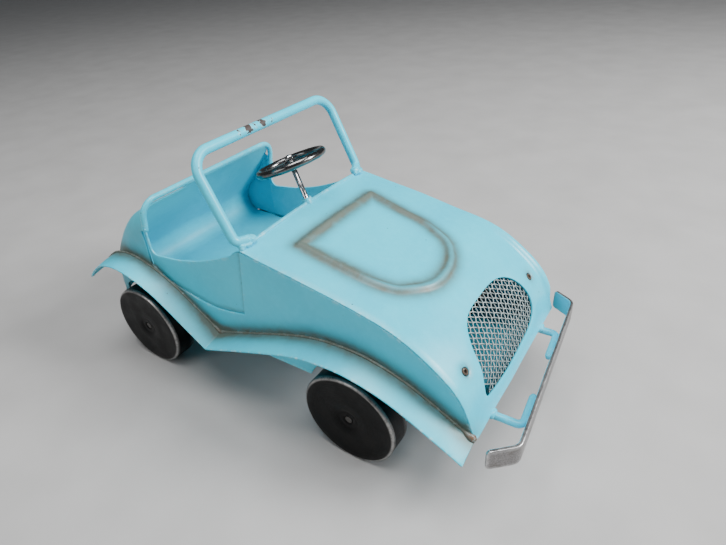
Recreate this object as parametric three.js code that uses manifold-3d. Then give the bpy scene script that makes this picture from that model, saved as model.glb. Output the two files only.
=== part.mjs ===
// A shelf-size pedal car in painted sheet steel: body shell, windscreen hoop, fenders, bumper,
// turning steering wheel, cranked front axle with two pedals, and four turned steel wheels.
// Millimetres. +X is forward, +Y is the car's left, +Z is up, and the wheels stand on z = 0.
// Every x below is measured from the middle of the wheelbase; the last lines move the origin
// to the middle of the car's overall length.
import * as THREE from "three";
import { mergeVertices } from "three/addons/utils/BufferGeometryUtils.js";
import Module from "manifold-3d";

// ---- driving dimensions ----
const SHEET = 0.9; // thickness of the body steel
const GAP = 0.3; // air left between pieces that touch
const HALF_BODY = 45.8; // outer face of the flanks, from the centreline
const HALF_FENDER = 57.1; // outer edge of the fenders
const AXLE_X = 65; // front axle at +AXLE_X, rear axle at -AXLE_X
const WHEEL_R = 22.5;
const WHEEL_OUT = 52.8; // outer face of a wheel
const WHEEL_WIDE = 11.8;
const WHEEL_FACETS = 48;
const ARCH_R = 25.2; // wheel-arch cut-outs
const AXLE_R = 1.7;
const RUNNING = 0.2; // radial clearance of a turning fit
const SILL_Z = 32.9; // lower edge of the body between the wheels
const TAIL_X = -96.9;
const CREASE_X = -53.6; // where the flanks meet the trunk shell
const TRUNK_TOP = 90;
const TRUNK_CORNER = 16; // rounding of the trunk seen from above
const TRUNK_SHOULDER = 9; // rounding of the trunk seen from behind
const PAN_Z = 46.2; // underside of the seat pan
const PAN_FRONT = 16;
const BETWEEN_SIDES = 43.3; // half of the room between the cockpit's sides
const FRONT_HANGER_TOP = 49;
const SEAT_TOP = [-48, 93.2]; // x, z of the seat back's upper edge
const SEAT_FOOT = [-84.2, 47.8];
const HOOD_CROWN = 2; // how much higher the hood's middle is than its edges
const HOOD_REAR = [13, 87.8];
const BEAD_R = 1.5;
const TUBE_R = 2.15; // windscreen hoop
const HOOP_TOP = [-5.8, 124.7];
const HOOP_BEND = 9.5;
const RIM_R = 1.3; // wired edge behind the seat
const RIM_BEND = 7.8;
const COLUMN_R = 1.3;
const COLUMN_LEAN = THREE.MathUtils.degToRad(21);
const STEER_X = 6; // centre of the steering wheel
const STEER_Z = 107.8;
const STEER_R = 16.9;
const CRANK_THROW = 10;
const BUMPER_X = 133.3; // back face of the bumper
const BUMPER_THICK = 1.5;
const BUMPER_Z = 31.2;
const BUMPER_TALL = 9.5;
const BUMPER_HALF = 43.5; // where the straight part of the bumper ends on the right
const BUMPER_LEFT = 46.5; // and on the left
const BUMPER_SKEW = 0.0744; // how far the bumper falls back for each millimetre to the left
const BRACKET_Z = 31.4;
const BRACKET_TALL = 3.6;
const BRACKET_THICK = 1.6;
const NOSE_PLATE_X = [87.5, 115.5]; // its rear and front edges
const NOSE_PLATE_THICK = 1;
const STUD_R = 1.5; // what is left of the headlight rivets

// ---- colours ----
const paint = () =>
  new THREE.MeshStandardMaterial({ color: 0x7fcbdc, roughness: 0.42, metalness: 0.1 });
const innerPaint = () =>
  new THREE.MeshStandardMaterial({ color: 0x4fb4cc, roughness: 0.45, metalness: 0.1 });
const blackened = () =>
  new THREE.MeshStandardMaterial({ color: 0x2b2b2d, roughness: 0.5, metalness: 0.8 });
const bareSteel = () =>
  new THREE.MeshStandardMaterial({ color: 0x8f9294, roughness: 0.4, metalness: 1 });
const chrome = () =>
  new THREE.MeshStandardMaterial({ color: 0x9a9a9c, roughness: 0.18, metalness: 1 });
const rusty = () =>
  new THREE.MeshStandardMaterial({ color: 0x6b4a35, roughness: 0.85, metalness: 0.4 });

// ---- booleans ----
const wasm = await Module();
wasm.setup();

function solid(geometry) {
  const bare = geometry.index ? geometry.toNonIndexed() : geometry.clone();
  const points = new THREE.BufferGeometry();
  points.setAttribute("position", bare.getAttribute("position"));
  const merged = mergeVertices(points, 1e-4);
  return new wasm.Manifold(
    new wasm.Mesh({
      numProp: 3,
      vertProperties: new Float32Array(merged.attributes.position.array),
      triVerts: new Uint32Array(merged.index.array),
    }),
  );
}

function geometryOf(shape) {
  const mesh = shape.getMesh();
  const geometry = new THREE.BufferGeometry();
  geometry.setAttribute(
    "position",
    new THREE.Float32BufferAttribute(mesh.vertProperties, mesh.numProp),
  );
  geometry.setIndex(new THREE.BufferAttribute(mesh.triVerts, 1));
  const flat = geometry.toNonIndexed();
  flat.computeVertexNormals();
  return flat;
}

const join = (...shapes) => shapes.reduce((sum, shape) => sum.add(shape));
const cut = (shape, ...tools) => tools.reduce((rest, tool) => rest.subtract(tool), shape);

// ---- shape helpers ----
const v2 = (x, y) => new THREE.Vector2(x, y);
const v3 = (x, y, z) => new THREE.Vector3(x, y, z);

// A box given by its low and high corners.
function box(low, high) {
  const size = high.map((value, i) => value - low[i]);
  const geometry = new THREE.BoxGeometry(...size);
  geometry.translate(...low.map((value, i) => value + size[i] / 2));
  return solid(geometry);
}

// A round bar between two points.
function rod(from, to, radius, sides = 24) {
  const axis = to.clone().sub(from);
  const geometry = new THREE.CylinderGeometry(radius, radius, axis.length(), sides);
  const turn = new THREE.Quaternion().setFromUnitVectors(v3(0, 1, 0), axis.clone().normalize());
  geometry.applyQuaternion(turn);
  geometry.translate(...from.clone().add(to).multiplyScalar(0.5).toArray());
  return solid(geometry);
}

// A side-view outline in x and z, given thickness from y = low to y = high.
function plate(outline, low, high) {
  const geometry = new THREE.ExtrudeGeometry(new THREE.Shape(outline), {
    depth: high - low,
    bevelEnabled: false,
    curveSegments: 24,
  });
  geometry.rotateX(Math.PI / 2);
  geometry.translate(0, high, 0);
  return solid(geometry);
}

// A plan outline in x and y, given height from z = low to z = high.
function slab(outline, low, high) {
  const geometry = new THREE.ExtrudeGeometry(new THREE.Shape(outline), {
    depth: high - low,
    bevelEnabled: false,
  });
  geometry.translate(0, 0, low);
  return solid(geometry);
}

// A round bar bent along straight runs with rounded corners.
function bentRod(corners, bend, radius, sides = 12, arcSteps = 6) {
  const path = [corners[0]];
  for (let i = 1; i < corners.length - 1; i += 1) {
    const before = corners[i - 1].clone().sub(corners[i]).normalize();
    const after = corners[i + 1].clone().sub(corners[i]).normalize();
    const half = before.angleTo(after) / 2;
    const reach = bend[i - 1] / Math.tan(half);
    const start = corners[i].clone().addScaledVector(before, reach);
    const end = corners[i].clone().addScaledVector(after, reach);
    const curve = new THREE.QuadraticBezierCurve3(start, corners[i], end);
    path.push(...curve.getPoints(arcSteps));
  }
  path.push(corners.at(-1));
  return sweep(path, radius, sides);
}

// A closed round skin through a list of points; a loop joins its end to its start.
function sweep(path, radius, sides, loop = false) {
  const count = path.length;
  const tangent = (i) => {
    const last = loop ? (i + 1) % count : Math.min(i + 1, count - 1);
    const first = loop ? (i + count - 1) % count : Math.max(i - 1, 0);
    return path[last].clone().sub(path[first]).normalize();
  };
  const rings = [];
  let side = v3(0, 0, 1).cross(tangent(0));
  if (side.length() < 0.1) side = v3(1, 0, 0).cross(tangent(0));
  path.forEach((point, i) => {
    const along = tangent(i);
    side.addScaledVector(along, -side.dot(along)).normalize();
    const up = along.clone().cross(side);
    rings.push(
      Array.from({ length: sides }, (_, k) => {
        const angle = (2 * Math.PI * k) / sides;
        return point
          .clone()
          .addScaledVector(side, radius * Math.cos(angle))
          .addScaledVector(up, radius * Math.sin(angle));
      }),
    );
  });
  const triangles = [];
  const steps = loop ? count : count - 1;
  for (let i = 0; i < steps; i += 1) {
    const here = rings[i];
    const next = rings[(i + 1) % count];
    for (let k = 0; k < sides; k += 1) {
      const m = (k + 1) % sides;
      triangles.push(here[k], here[m], next[m], here[k], next[m], next[k]);
    }
  }
  if (!loop) {
    for (let k = 1; k < sides - 1; k += 1) {
      triangles.push(rings[0][0], rings[0][k + 1], rings[0][k]);
      triangles.push(rings.at(-1)[0], rings.at(-1)[k], rings.at(-1)[k + 1]);
    }
  }
  return solid(new THREE.BufferGeometry().setFromPoints(triangles));
}

// A sheet whose upper face is surface(u, v) and whose lower face is `below(u, v)`.
function sheet(surface, below, uSteps, vSteps) {
  const triangles = [];
  const quad = (a, b, c, d) => triangles.push(a, b, c, a, c, d);
  for (let i = 0; i < uSteps.length - 1; i += 1) {
    for (let j = 0; j < vSteps.length - 1; j += 1) {
      const [u, un, v, vn] = [uSteps[i], uSteps[i + 1], vSteps[j], vSteps[j + 1]];
      quad(surface(u, v), surface(un, v), surface(un, vn), surface(u, vn));
      quad(below(u, v), below(u, vn), below(un, vn), below(un, v));
    }
  }
  const ends = (u, v, un, vn) =>
    quad(surface(u, v), below(u, v), below(un, vn), surface(un, vn));
  for (let i = 0; i < uSteps.length - 1; i += 1) {
    ends(uSteps[i], vSteps[0], uSteps[i + 1], vSteps[0]);
    ends(uSteps[i + 1], vSteps.at(-1), uSteps[i], vSteps.at(-1));
  }
  for (let j = 0; j < vSteps.length - 1; j += 1) {
    ends(uSteps.at(-1), vSteps[j], uSteps.at(-1), vSteps[j + 1]);
    ends(uSteps[0], vSteps[j + 1], uSteps[0], vSteps[j]);
  }
  return solid(new THREE.BufferGeometry().setFromPoints(triangles));
}

const spread = (low, high, steps) =>
  Array.from({ length: steps + 1 }, (_, i) => low + ((high - low) * i) / steps);

// ---- the hood's side profile ----
const hoodLine = new THREE.SplineCurve(
  [
    HOOD_REAR,
    [38.9, 83.5],
    [62.3, 79.1],
    [83.9, 73.5],
    [101.2, 63.6],
    [112.5, 52.3],
    [118.9, 35.5],
  ].map((p) => v2(...p)),
);
const HOOD_LENGTH = hoodLine.getLength();

// A point of the hood at a given run from its rear edge, raised by `rise` along its normal.
function hoodPoint(run, y, rise = 0) {
  const t = Math.min(Math.max(run / HOOD_LENGTH, 0), 1);
  const p = hoodLine.getPointAt(t);
  const along = hoodLine.getTangentAt(t);
  const across = 1 - (y / HALF_BODY) ** 2;
  const crown = HOOD_CROWN * across * Math.min(1, 2.4 * (1 - t));
  const lift = rise + crown;
  return v3(p.x - along.y * lift, y, p.y + along.x * lift);
}

// The D-shaped bead, a little off the middle: a straight edge across the rear and a round nose.
function beadPath() {
  const [right, left] = [
    [17.5, -28.4],
    [18.1, 26],
  ];
  const nose = new THREE.CatmullRomCurve3(
    [
      right,
      [31.4, -29],
      [44.7, -29.5],
      [54.6, -29],
      [62.7, -26.9],
      [67.3, -22.8],
      [71.7, -16.2],
      [73.4, -8.9],
      [72.7, 0.3],
      [69.9, 7.8],
      [65, 14.1],
      [58.5, 17.6],
      [49.4, 20.8],
      [35.6, 22.7],
      left,
    ].map(([run, y]) => v3(run, y, 0)),
  ).getPoints(26);
  const rear = spread(1, 0, 8)
    .slice(1, -1)
    .map((t) => v3(right[0] + (left[0] - right[0]) * t, right[1] + (left[1] - right[1]) * t, 0));
  return [...nose, ...rear].map((p) => hoodPoint(p.x, p.y, 0));
}

// The grille opening, wide across the nose with an arched top, as [y, run] points.
const grilleOutline = new THREE.CatmullRomCurve3(
  [
    [0, 89.6],
    [14, 90.6],
    [22.5, 95.5],
    [26.3, 104],
    [25.6, 113],
    [20, 118.3],
    [8, 120.2],
    [-10, 120.8],
    [-24, 120],
    [-30.2, 117.6],
    [-27.6, 108.4],
    [-24, 98.4],
    [-15, 91],
  ].map(([y, run]) => v3(y, run, 0)),
  true,
).getPoints(40);

// ---- body sheets ----
function makeHood() {
  const skin = sheet(
    (run, y) => hoodPoint(run, y),
    (run, y) => hoodPoint(run, y, -SHEET),
    spread(0, HOOD_LENGTH, 26),
    spread(-HALF_BODY, HALF_BODY, 8),
  );
  const bead = sweep(beadPath(), BEAD_R, 6, true);
  const rearLip = rod(
    v3(HOOD_REAR[0] + 0.4, -HALF_BODY + 0.2, HOOD_REAR[1] - 0.5),
    v3(HOOD_REAR[0] + 0.4, HALF_BODY - 0.2, HOOD_REAR[1] - 0.5),
    0.8,
    10,
  );
  const opening = grillePrism(4);
  const holes = [-1, 1].map((side) => {
    const centre = headlightCentre(side);
    return rod(
      centre.clone().addScaledVector(headlightNormal(), -4),
      centre.clone().addScaledVector(headlightNormal(), 4),
      STUD_R + GAP,
      16,
    );
  });
  const columnNotch = steeringRod(COLUMN_BUSH_R + GAP, -14, -30);
  return cut(join(skin, bead, rearLip), opening, columnNotch, ...holes);
}

// The grille outline pushed through the nose along its mean normal.
function grillePrism(reach) {
  const rim = grilleOutline.slice(0, -1);
  const outer = rim.map((p) => hoodPoint(p.y, p.x, reach));
  const inner = rim.map((p) => hoodPoint(p.y, p.x, -reach));
  const middle = (points) =>
    points.reduce((sum, p) => sum.add(p), v3(0, 0, 0)).divideScalar(points.length);
  const top = middle(outer);
  const bottom = middle(inner);
  const triangles = [];
  rim.forEach((_, i) => {
    const next = (i + 1) % rim.length;
    triangles.push(outer[i], top, outer[next]);
    triangles.push(inner[i], inner[next], bottom);
    triangles.push(outer[i], outer[next], inner[next], outer[i], inner[next], inner[i]);
  });
  return solid(new THREE.BufferGeometry().setFromPoints(triangles));
}

const HEADLIGHT_RUN = 102.6;
const headlightCentre = (side) => hoodPoint(HEADLIGHT_RUN, side * 35.2);
function headlightNormal() {
  const along = hoodLine.getTangentAt(HEADLIGHT_RUN / HOOD_LENGTH);
  return v3(-along.y, 0, along.x);
}

const wheelArch = (x) =>
  rod(v3(x, -2 * HALF_BODY, WHEEL_R), v3(x, 2 * HALF_BODY, WHEEL_R), ARCH_R, 48);

// The flank runs from the trunk's crease to the nose, under the hood's edge.
function makeFlank(side) {
  const underHood = spread(0.02, 0.985, 22).map((t) => {
    const p = hoodLine.getPointAt(t);
    const along = hoodLine.getTangentAt(t);
    const drop = SHEET + GAP;
    return v2(p.x + along.y * drop, p.y - along.x * drop);
  });
  const outline = [
    v2(CREASE_X + GAP, SILL_Z),
    v2(CREASE_X + GAP, 61.8),
    v2(-41, 54.5),
    v2(-14, 49.5),
    v2(7, 52.5),
    v2(12.4, HOOD_REAR[1] - SHEET - GAP),
    ...underHood,
    v2(112, 31.6),
    v2(88.9, 29.8),
    v2(84, SILL_Z),
  ];
  const low = side < 0 ? -HALF_BODY : HALF_BODY - SHEET;
  return cut(
    plate(outline, low, low + SHEET),
    wheelArch(AXLE_X),
    wheelArch(-AXLE_X),
  );
}

// The cockpit side is a second sheet set just inside the flank, with the dipped door line.
function makeSidePanel(side) {
  const outline = [
    v2(CREASE_X + GAP, 48),
    v2(CREASE_X + GAP, 82.8),
    v2(-51.6, 82.8),
    v2(-51.6, 69),
    v2(-50, 66.7),
    v2(-34, 69.2),
    v2(-17, 73.4),
    v2(2.2, 81),
    v2(7.4, 84.6),
    v2(11, 86.2),
    v2(14.6, 86.2),
    v2(14.6, 48),
  ];
  const outer = HALF_BODY - SHEET - GAP;
  const low = side < 0 ? -outer : outer - SHEET;
  return plate(outline, low, low + SHEET);
}

// One solid of the trunk's outer form, drawn in by `inset`.
function trunkForm(inset) {
  const half = HALF_BODY - inset;
  const profile = new THREE.SplineCurve(
    [
      [CREASE_X, TRUNK_TOP - inset],
      [-67.5 + 0.4 * inset, 83.2 - inset],
      [-80.4 + 0.7 * inset, 71.8 - 0.8 * inset],
      [-92.1 + inset, 56.6 - 0.5 * inset],
      [TAIL_X + inset, 42],
    ].map((p) => v2(...p)),
  ).getPoints(18);
  const base = SILL_Z - 1.9 - inset;
  const side = plate([...profile, v2(TAIL_X + inset, base), v2(CREASE_X, base)], -60, 60);
  const corner = TRUNK_CORNER - inset;
  const rear = TAIL_X + inset;
  const plan = new THREE.Shape();
  plan.moveTo(CREASE_X, -half);
  plan.lineTo(CREASE_X, half);
  plan.lineTo(rear + corner, half);
  plan.absarc(rear + corner, half - corner, corner, Math.PI / 2, Math.PI, false);
  plan.lineTo(rear, -half + corner);
  plan.absarc(rear + corner, -half + corner, corner, Math.PI, 1.5 * Math.PI, false);
  const fromAbove = solid(
    new THREE.ExtrudeGeometry(plan, { depth: 120, bevelEnabled: false, curveSegments: 8 }),
  );
  const shoulder = TRUNK_SHOULDER - inset;
  const top = TRUNK_TOP - inset;
  const section = new THREE.Shape();
  section.moveTo(-half, 0);
  section.lineTo(half, 0);
  section.lineTo(half, top - shoulder);
  section.absarc(half - shoulder, top - shoulder, shoulder, 0, Math.PI / 2, false);
  section.lineTo(-half + shoulder, top);
  section.absarc(-half + shoulder, top - shoulder, shoulder, Math.PI / 2, Math.PI, false);
  const behind = new THREE.ExtrudeGeometry(section, {
    depth: 80,
    bevelEnabled: false,
    curveSegments: 8,
  });
  behind.rotateX(Math.PI / 2);
  behind.rotateZ(-Math.PI / 2);
  behind.translate(CREASE_X, 0, 0);
  return side.intersect(fromAbove).intersect(solid(behind));
}

function makeTrunk() {
  const hollow = trunkForm(SHEET);
  const half = HALF_BODY - SHEET;
  const mouth = box([CREASE_X - 4, -half, 0], [CREASE_X + 4, half, 82]);
  const below = box([TAIL_X + TRUNK_CORNER, -half, 0], [CREASE_X + 4, half, SILL_Z]);
  return cut(trunkForm(0), hollow, mouth.intersect(hollow), below, wheelArch(-AXLE_X));
}

function makeSeatBack() {
  const [topX, topZ] = SEAT_TOP;
  const [footX, footZ] = SEAT_FOOT;
  const length = Math.hypot(topX - footX, topZ - footZ);
  const half = 42;
  const round = 12.5;
  const shape = new THREE.Shape();
  shape.moveTo(-half, 0);
  shape.lineTo(half, 0);
  shape.lineTo(half, length - round);
  shape.absarc(half - round, length - round, round, 0, Math.PI / 2, false);
  shape.lineTo(-half + round, length);
  shape.absarc(-half + round, length - round, round, Math.PI / 2, Math.PI, false);
  const geometry = new THREE.ExtrudeGeometry(shape, {
    depth: SHEET,
    bevelEnabled: false,
    curveSegments: 8,
  });
  geometry.rotateX(Math.PI / 2);
  geometry.rotateZ(-Math.PI / 2);
  geometry.rotateY(Math.atan2(footX - topX, topZ - footZ) * -1);
  geometry.translate(footX, 0, footZ);
  return solid(geometry);
}

// The pan is wider between the trunk's sides than between the cockpit's.
function makeSeatPan() {
  const [rear, step] = [SEAT_FOOT[0] + 1.6, CREASE_X - GAP];
  const wide = HALF_BODY - SHEET - GAP;
  const narrow = BETWEEN_SIDES;
  const left = [v2(PAN_FRONT, narrow), v2(step, narrow), v2(step, wide), v2(rear, wide)];
  const right = left.map((p) => v2(p.x, -p.y)).reverse();
  return slab([...left, ...right], PAN_Z, PAN_Z + SHEET);
}

// ---- fenders: one strip from the tail over both wheels to the nose ----
const fenderLine = [
  [
    [-95.2, 50.4],
    [-90, 55.6],
    [-81, 61.2],
    [-69, 63.2],
    [-56, 60.8],
    [-41.5, 54.6],
    [-26.8, 44.4],
    [-13, 34.6],
  ],
  [
    [-13, 34.6],
    [8.7, 42.6],
    [38.9, 53.2],
    [55, 56.2],
    [72, 56],
    [90, 51],
    [107.3, 42.2],
    [118.5, 35.8],
  ],
].map((run) => new THREE.SplineCurve(run.map((p) => v2(...p))));
const FENDER_DROP = 2.2; // the outer edge is this much lower than the inner one
const LEFT_FENDER_END = 113; // the left fender stops short of the nose

function makeFender(side) {
  const points = [
    ...fenderLine[0].getPoints(18).slice(0, -1),
    ...fenderLine[1].getPoints(24),
  ].filter((p) => side < 0 || p.x < LEFT_FENDER_END);
  const normals = points.map((p, i) => {
    const before = points[Math.max(i - 1, 0)];
    const after = points[Math.min(i + 1, points.length - 1)];
    const along = after.clone().sub(before).normalize();
    return v2(-along.y, along.x);
  });
  const inner = HALF_BODY + GAP;
  const at = (i, across, depth) => {
    const sag = FENDER_DROP * across ** 1.6;
    return v3(
      points[i].x - normals[i].x * depth,
      side * (inner + (HALF_FENDER - inner) * across),
      points[i].y - normals[i].y * depth - sag,
    );
  };
  const stations = points.map((_, i) => i);
  const acrossSteps = side < 0 ? [1, 0.66, 0.33, 0] : [0, 0.33, 0.66, 1];
  return sheet(
    (i, across) => at(i, across, 0),
    (i, across) => at(i, across, SHEET),
    stations,
    acrossSteps,
  );
}

// ---- hoop, wired edge and grille ----
function makeWindscreen() {
  const foot = v3(HOOD_REAR[0] - 2.6, 0, HOOD_REAR[1] + TUBE_R + 0.5);
  const half = HALF_BODY - 1;
  const onHood = HOOD_REAR[0] + 0.2; // the legs turn forward and inward to the hood
  return bentRod(
    [
      v3(onHood, -half + 5.5, foot.z),
      v3(foot.x, -half, foot.z),
      v3(HOOP_TOP[0], -half, HOOP_TOP[1]),
      v3(HOOP_TOP[0], half, HOOP_TOP[1]),
      v3(foot.x, half, foot.z),
      v3(onHood, half - 5.5, foot.z),
    ],
    [2.6, HOOP_BEND, HOOP_BEND, 2.6],
    TUBE_R,
  );
}

function makeRearRim() {
  const half = HALF_BODY - 1.2;
  const top = SEAT_TOP[1] + RIM_R + 0.9;
  const foot = 83.2;
  const x = SEAT_TOP[0] - 1.4;
  const corners = [v3(x, -half, foot), v3(x, -half, top), v3(x, half, top), v3(x, half, foot)];
  return bentRod(corners, [RIM_BEND, RIM_BEND], RIM_R, 10);
}

const GRILLE_PITCH = 4;
const WIRE = 0.9;
const GRILLE_DEPTH = SHEET + GAP;
const GRILLE_TURN = THREE.MathUtils.degToRad(38); // the wires run diagonally across the nose
const GRILLE_MIDDLE = v2(-1.5, 105.5);

const insideOutline = (outline, y, run) => {
  let odd = false;
  outline.forEach((p, i) => {
    const q = outline[(i + 1) % outline.length];
    const crosses = p.y > run !== q.y > run;
    if (crosses && y < ((q.x - p.x) * (run - p.y)) / (q.y - p.y) + p.x) odd = !odd;
  });
  return odd;
};

// The grille is a lattice of crossed wires bent to the nose, just behind the hood's opening.
// Its cells alternate between a wire's width and an open gap; even cells are wire.
function makeGrille() {
  const margin = 1.8;
  const edge = grilleOutline.slice(0, -1).map((p) => {
    const out = v2(p.x, p.y).sub(GRILLE_MIDDLE);
    return out.multiplyScalar(1 + margin / out.length()).add(GRILLE_MIDDLE);
  });
  const line = (i) => Math.floor(i / 2) * GRILLE_PITCH + (i % 2 ? WIRE : 0);
  const flat = (a, b) => {
    const turned = v2(a, b).rotateAround(v2(0, 0), GRILLE_TURN);
    return turned.add(GRILLE_MIDDLE);
  };
  const span = 22;
  const isNode = (i, j) => {
    const p = flat(line(i) + WIRE / 2, line(j) + WIRE / 2);
    return insideOutline(edge, p.x, p.y);
  };
  const cells = new Set();
  for (let i = -span; i <= span; i += 2) {
    for (let j = -span; j <= span; j += 2) {
      if (!isNode(i, j)) continue;
      cells.add(`${i},${j}`);
      if (isNode(i + 2, j)) cells.add(`${i + 1},${j}`);
      if (isNode(i, j + 2)) cells.add(`${i},${j + 1}`);
    }
  }
  const at = (i, j, depth) => {
    const p = flat(line(i), line(j));
    return hoodPoint(p.y, p.x, -GRILLE_DEPTH - depth);
  };
  const triangles = [];
  const quad = (a, b, c, d) => triangles.push(a, b, c, a, c, d);
  const wall = (i, j, m, n) => quad(at(i, j, 0), at(m, n, 0), at(m, n, WIRE), at(i, j, WIRE));
  cells.forEach((cell) => {
    const [i, j] = cell.split(",").map(Number);
    const [m, n] = [i + 1, j + 1];
    quad(at(i, j, 0), at(i, n, 0), at(m, n, 0), at(m, j, 0));
    quad(at(i, j, WIRE), at(m, j, WIRE), at(m, n, WIRE), at(i, n, WIRE));
    if (!cells.has(`${i},${j - 1}`)) wall(i, j, m, j);
    if (!cells.has(`${m},${j}`)) wall(m, j, m, n);
    if (!cells.has(`${i},${n}`)) wall(m, n, i, n);
    if (!cells.has(`${i - 1},${j}`)) wall(i, n, i, j);
  });
  return solid(new THREE.BufferGeometry().setFromPoints(triangles));
}

function makeStud(side) {
  const normal = headlightNormal();
  const centre = headlightCentre(side);
  const shank = rod(
    centre.clone().addScaledVector(normal, -2.4),
    centre.clone().addScaledVector(normal, 0.5),
    STUD_R,
    12,
  );
  const head = rod(
    centre.clone().addScaledVector(normal, -2.6),
    centre.clone().addScaledVector(normal, -1.5),
    STUD_R + 1.1,
    12,
  );
  const hole = rod(
    centre.clone().addScaledVector(normal, -3),
    centre.clone().addScaledVector(normal, 1),
    STUD_R - 0.7,
    12,
  );
  return cut(join(shank, head), hole);
}

// ---- steering ----
const COLUMN_BUSH_R = 2.5;
const COLUMN_TIP = -44; // lower end of the column, measured along it from the wheel's centre
const STRAP_AT = -38;
const columnAxis = v3(-Math.sin(COLUMN_LEAN), 0, Math.cos(COLUMN_LEAN));
const onColumn = (run) => v3(STEER_X, 0, STEER_Z).addScaledVector(columnAxis, run);
const steeringRod = (radius, from, to, sides = 20) =>
  rod(onColumn(Math.min(from, to)), onColumn(Math.max(from, to)), radius, sides);

const makeColumn = () => steeringRod(COLUMN_R, COLUMN_TIP, 2.8);
const makeBush = () =>
  cut(
    steeringRod(COLUMN_BUSH_R, -23.5, -17.5),
    steeringRod(COLUMN_R + RUNNING, -30, -10),
  );
const makeCollar = () =>
  cut(
    steeringRod(COLUMN_BUSH_R + 0.3, STRAP_AT + 1.2, STRAP_AT + 4),
    steeringRod(COLUMN_R + 0.1, STRAP_AT, STRAP_AT + 6),
  );
const makeColumnNut = () =>
  cut(
    steeringRod(COLUMN_R + 1.1, 1.5, 3.4, 6),
    steeringRod(COLUMN_R + 0.1, 0, 5),
  );

// The strap that carries the column's lower end, welded between the cockpit sides.
function makeStrap() {
  const geometry = new THREE.BoxGeometry(8, 2 * BETWEEN_SIDES, 1.2);
  geometry.rotateY(-COLUMN_LEAN);
  geometry.translate(...onColumn(STRAP_AT).toArray());
  const hole = steeringRod(COLUMN_R + RUNNING, STRAP_AT - 3, STRAP_AT + 3);
  return cut(solid(geometry), hole);
}

function makeSteeringWheel() {
  const rimWire = 1.5;
  const circle = spread(0, 2 * Math.PI, 40)
    .slice(0, -1)
    .map((a) => v3((STEER_R - rimWire) * Math.cos(a), (STEER_R - rimWire) * Math.sin(a), 0));
  const spokes = [0, 1, 2, 3].map((k) => {
    const angle = (Math.PI / 2) * k + Math.PI / 4;
    const end = v3(Math.cos(angle), Math.sin(angle), 0).multiplyScalar(STEER_R - rimWire);
    return rod(v3(0, 0, -0.6), end, 0.9, 8);
  });
  const hub = rod(v3(0, 0, -2.6), v3(0, 0, 1.2), 3.4, 20);
  const wheel = join(sweep(circle, rimWire, 8, true), hub, ...spokes);
  const bore = rod(v3(0, 0, -5), v3(0, 0, 5), COLUMN_R + 0.1, 20);
  const shape = geometryOf(cut(wheel, bore));
  shape.rotateY(-COLUMN_LEAN);
  shape.translate(STEER_X, 0, STEER_Z);
  return solid(shape);
}

// ---- bumper ----
// A flat bar on edge that follows a plan line; the line is the bar's forward face.
function flatBar(line, thick, low, tall) {
  const back = line.map((p, i) => {
    const before = line[Math.max(i - 1, 0)];
    const after = line[Math.min(i + 1, line.length - 1)];
    const first = p.clone().sub(before).normalize();
    const second = after.clone().sub(p).normalize();
    const along = first.add(second).normalize();
    const bend = i > 0 && i < line.length - 1 ? p.clone().sub(before).normalize() : along;
    const reach = thick / Math.max(along.dot(bend), 0.5);
    return v2(p.x - along.y * reach, p.y + along.x * reach);
  });
  return slab([...line, ...back.reverse()], low, low + tall);
}

const bumperBack = (y) => BUMPER_X - BUMPER_SKEW * (y + BUMPER_HALF);

function makeBumper() {
  const front = BUMPER_X + BUMPER_THICK;
  const frontLeft = bumperBack(BUMPER_LEFT) + BUMPER_THICK;
  const line = [
    v2(front - 9.4, -WHEEL_OUT),
    v2(front - 1.3, -BUMPER_HALF - 2.6),
    v2(front, -BUMPER_HALF),
    v2(frontLeft, BUMPER_LEFT),
    v2(frontLeft - 1.9, BUMPER_LEFT + 2),
    v2(frontLeft - 9.8, WHEEL_OUT),
  ];
  return flatBar(line, BUMPER_THICK, BUMPER_Z, BUMPER_TALL);
}

function makeBumperBracket(side) {
  const reach = (y) => bumperBack(y) - GAP;
  const root = 104;
  const end = side * 12;
  const near = side * 28.5;
  const edge = near + side * BRACKET_THICK;
  const chamfer = 1;
  const outline = [
    v2(root, near),
    v2(reach(near) - BRACKET_THICK, near),
    v2(reach(end) - BRACKET_THICK, end),
    v2(reach(end), end),
    v2(reach(edge - side * chamfer), edge - side * chamfer),
    v2(reach(edge) - chamfer, edge),
    v2(root, edge),
  ];
  const turned = side > 0 ? outline.reverse() : outline;
  return slab(turned, BRACKET_Z, BRACKET_Z + BRACKET_TALL);
}

// A flat plate across the nose that the bumper brackets are welded under. It closes the nose below
// the grille, back to the front wheels.
function makeNosePlate() {
  const half = HALF_BODY - SHEET - GAP;
  const low = BRACKET_Z + BRACKET_TALL + GAP;
  const [back, front] = NOSE_PLATE_X;
  return box([back, -half, low], [front, half, low + NOSE_PLATE_THICK]);
}

// ---- running gear ----
function makeWheel(x, side) {
  const outerR = WHEEL_R / Math.cos(Math.PI / WHEEL_FACETS);
  const edge = 1.6;
  const bore = AXLE_R + (x < 0 ? RUNNING : 0.1);
  const profile = [
    [bore, 0],
    [outerR - edge, 0],
    [outerR, edge * 0.6],
    [outerR, WHEEL_WIDE - 1.1],
    [outerR - 1.1, WHEEL_WIDE],
    [6.4, WHEEL_WIDE],
    [5.2, WHEEL_WIDE - 0.6],
    [bore, WHEEL_WIDE - 0.6],
    [bore, 0],
  ].map(([r, h]) => v2(r, h));
  const geometry = new THREE.LatheGeometry(profile, WHEEL_FACETS);
  geometry.rotateY(Math.PI / WHEEL_FACETS);
  if (side < 0) geometry.rotateX(Math.PI);
  geometry.translate(x, side * (WHEEL_OUT - WHEEL_WIDE), WHEEL_R);
  return solid(geometry);
}

const alongY = (x, z, low, high, radius, sides = 24) =>
  rod(v3(x, low, z), v3(x, high, z), radius, sides);

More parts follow.
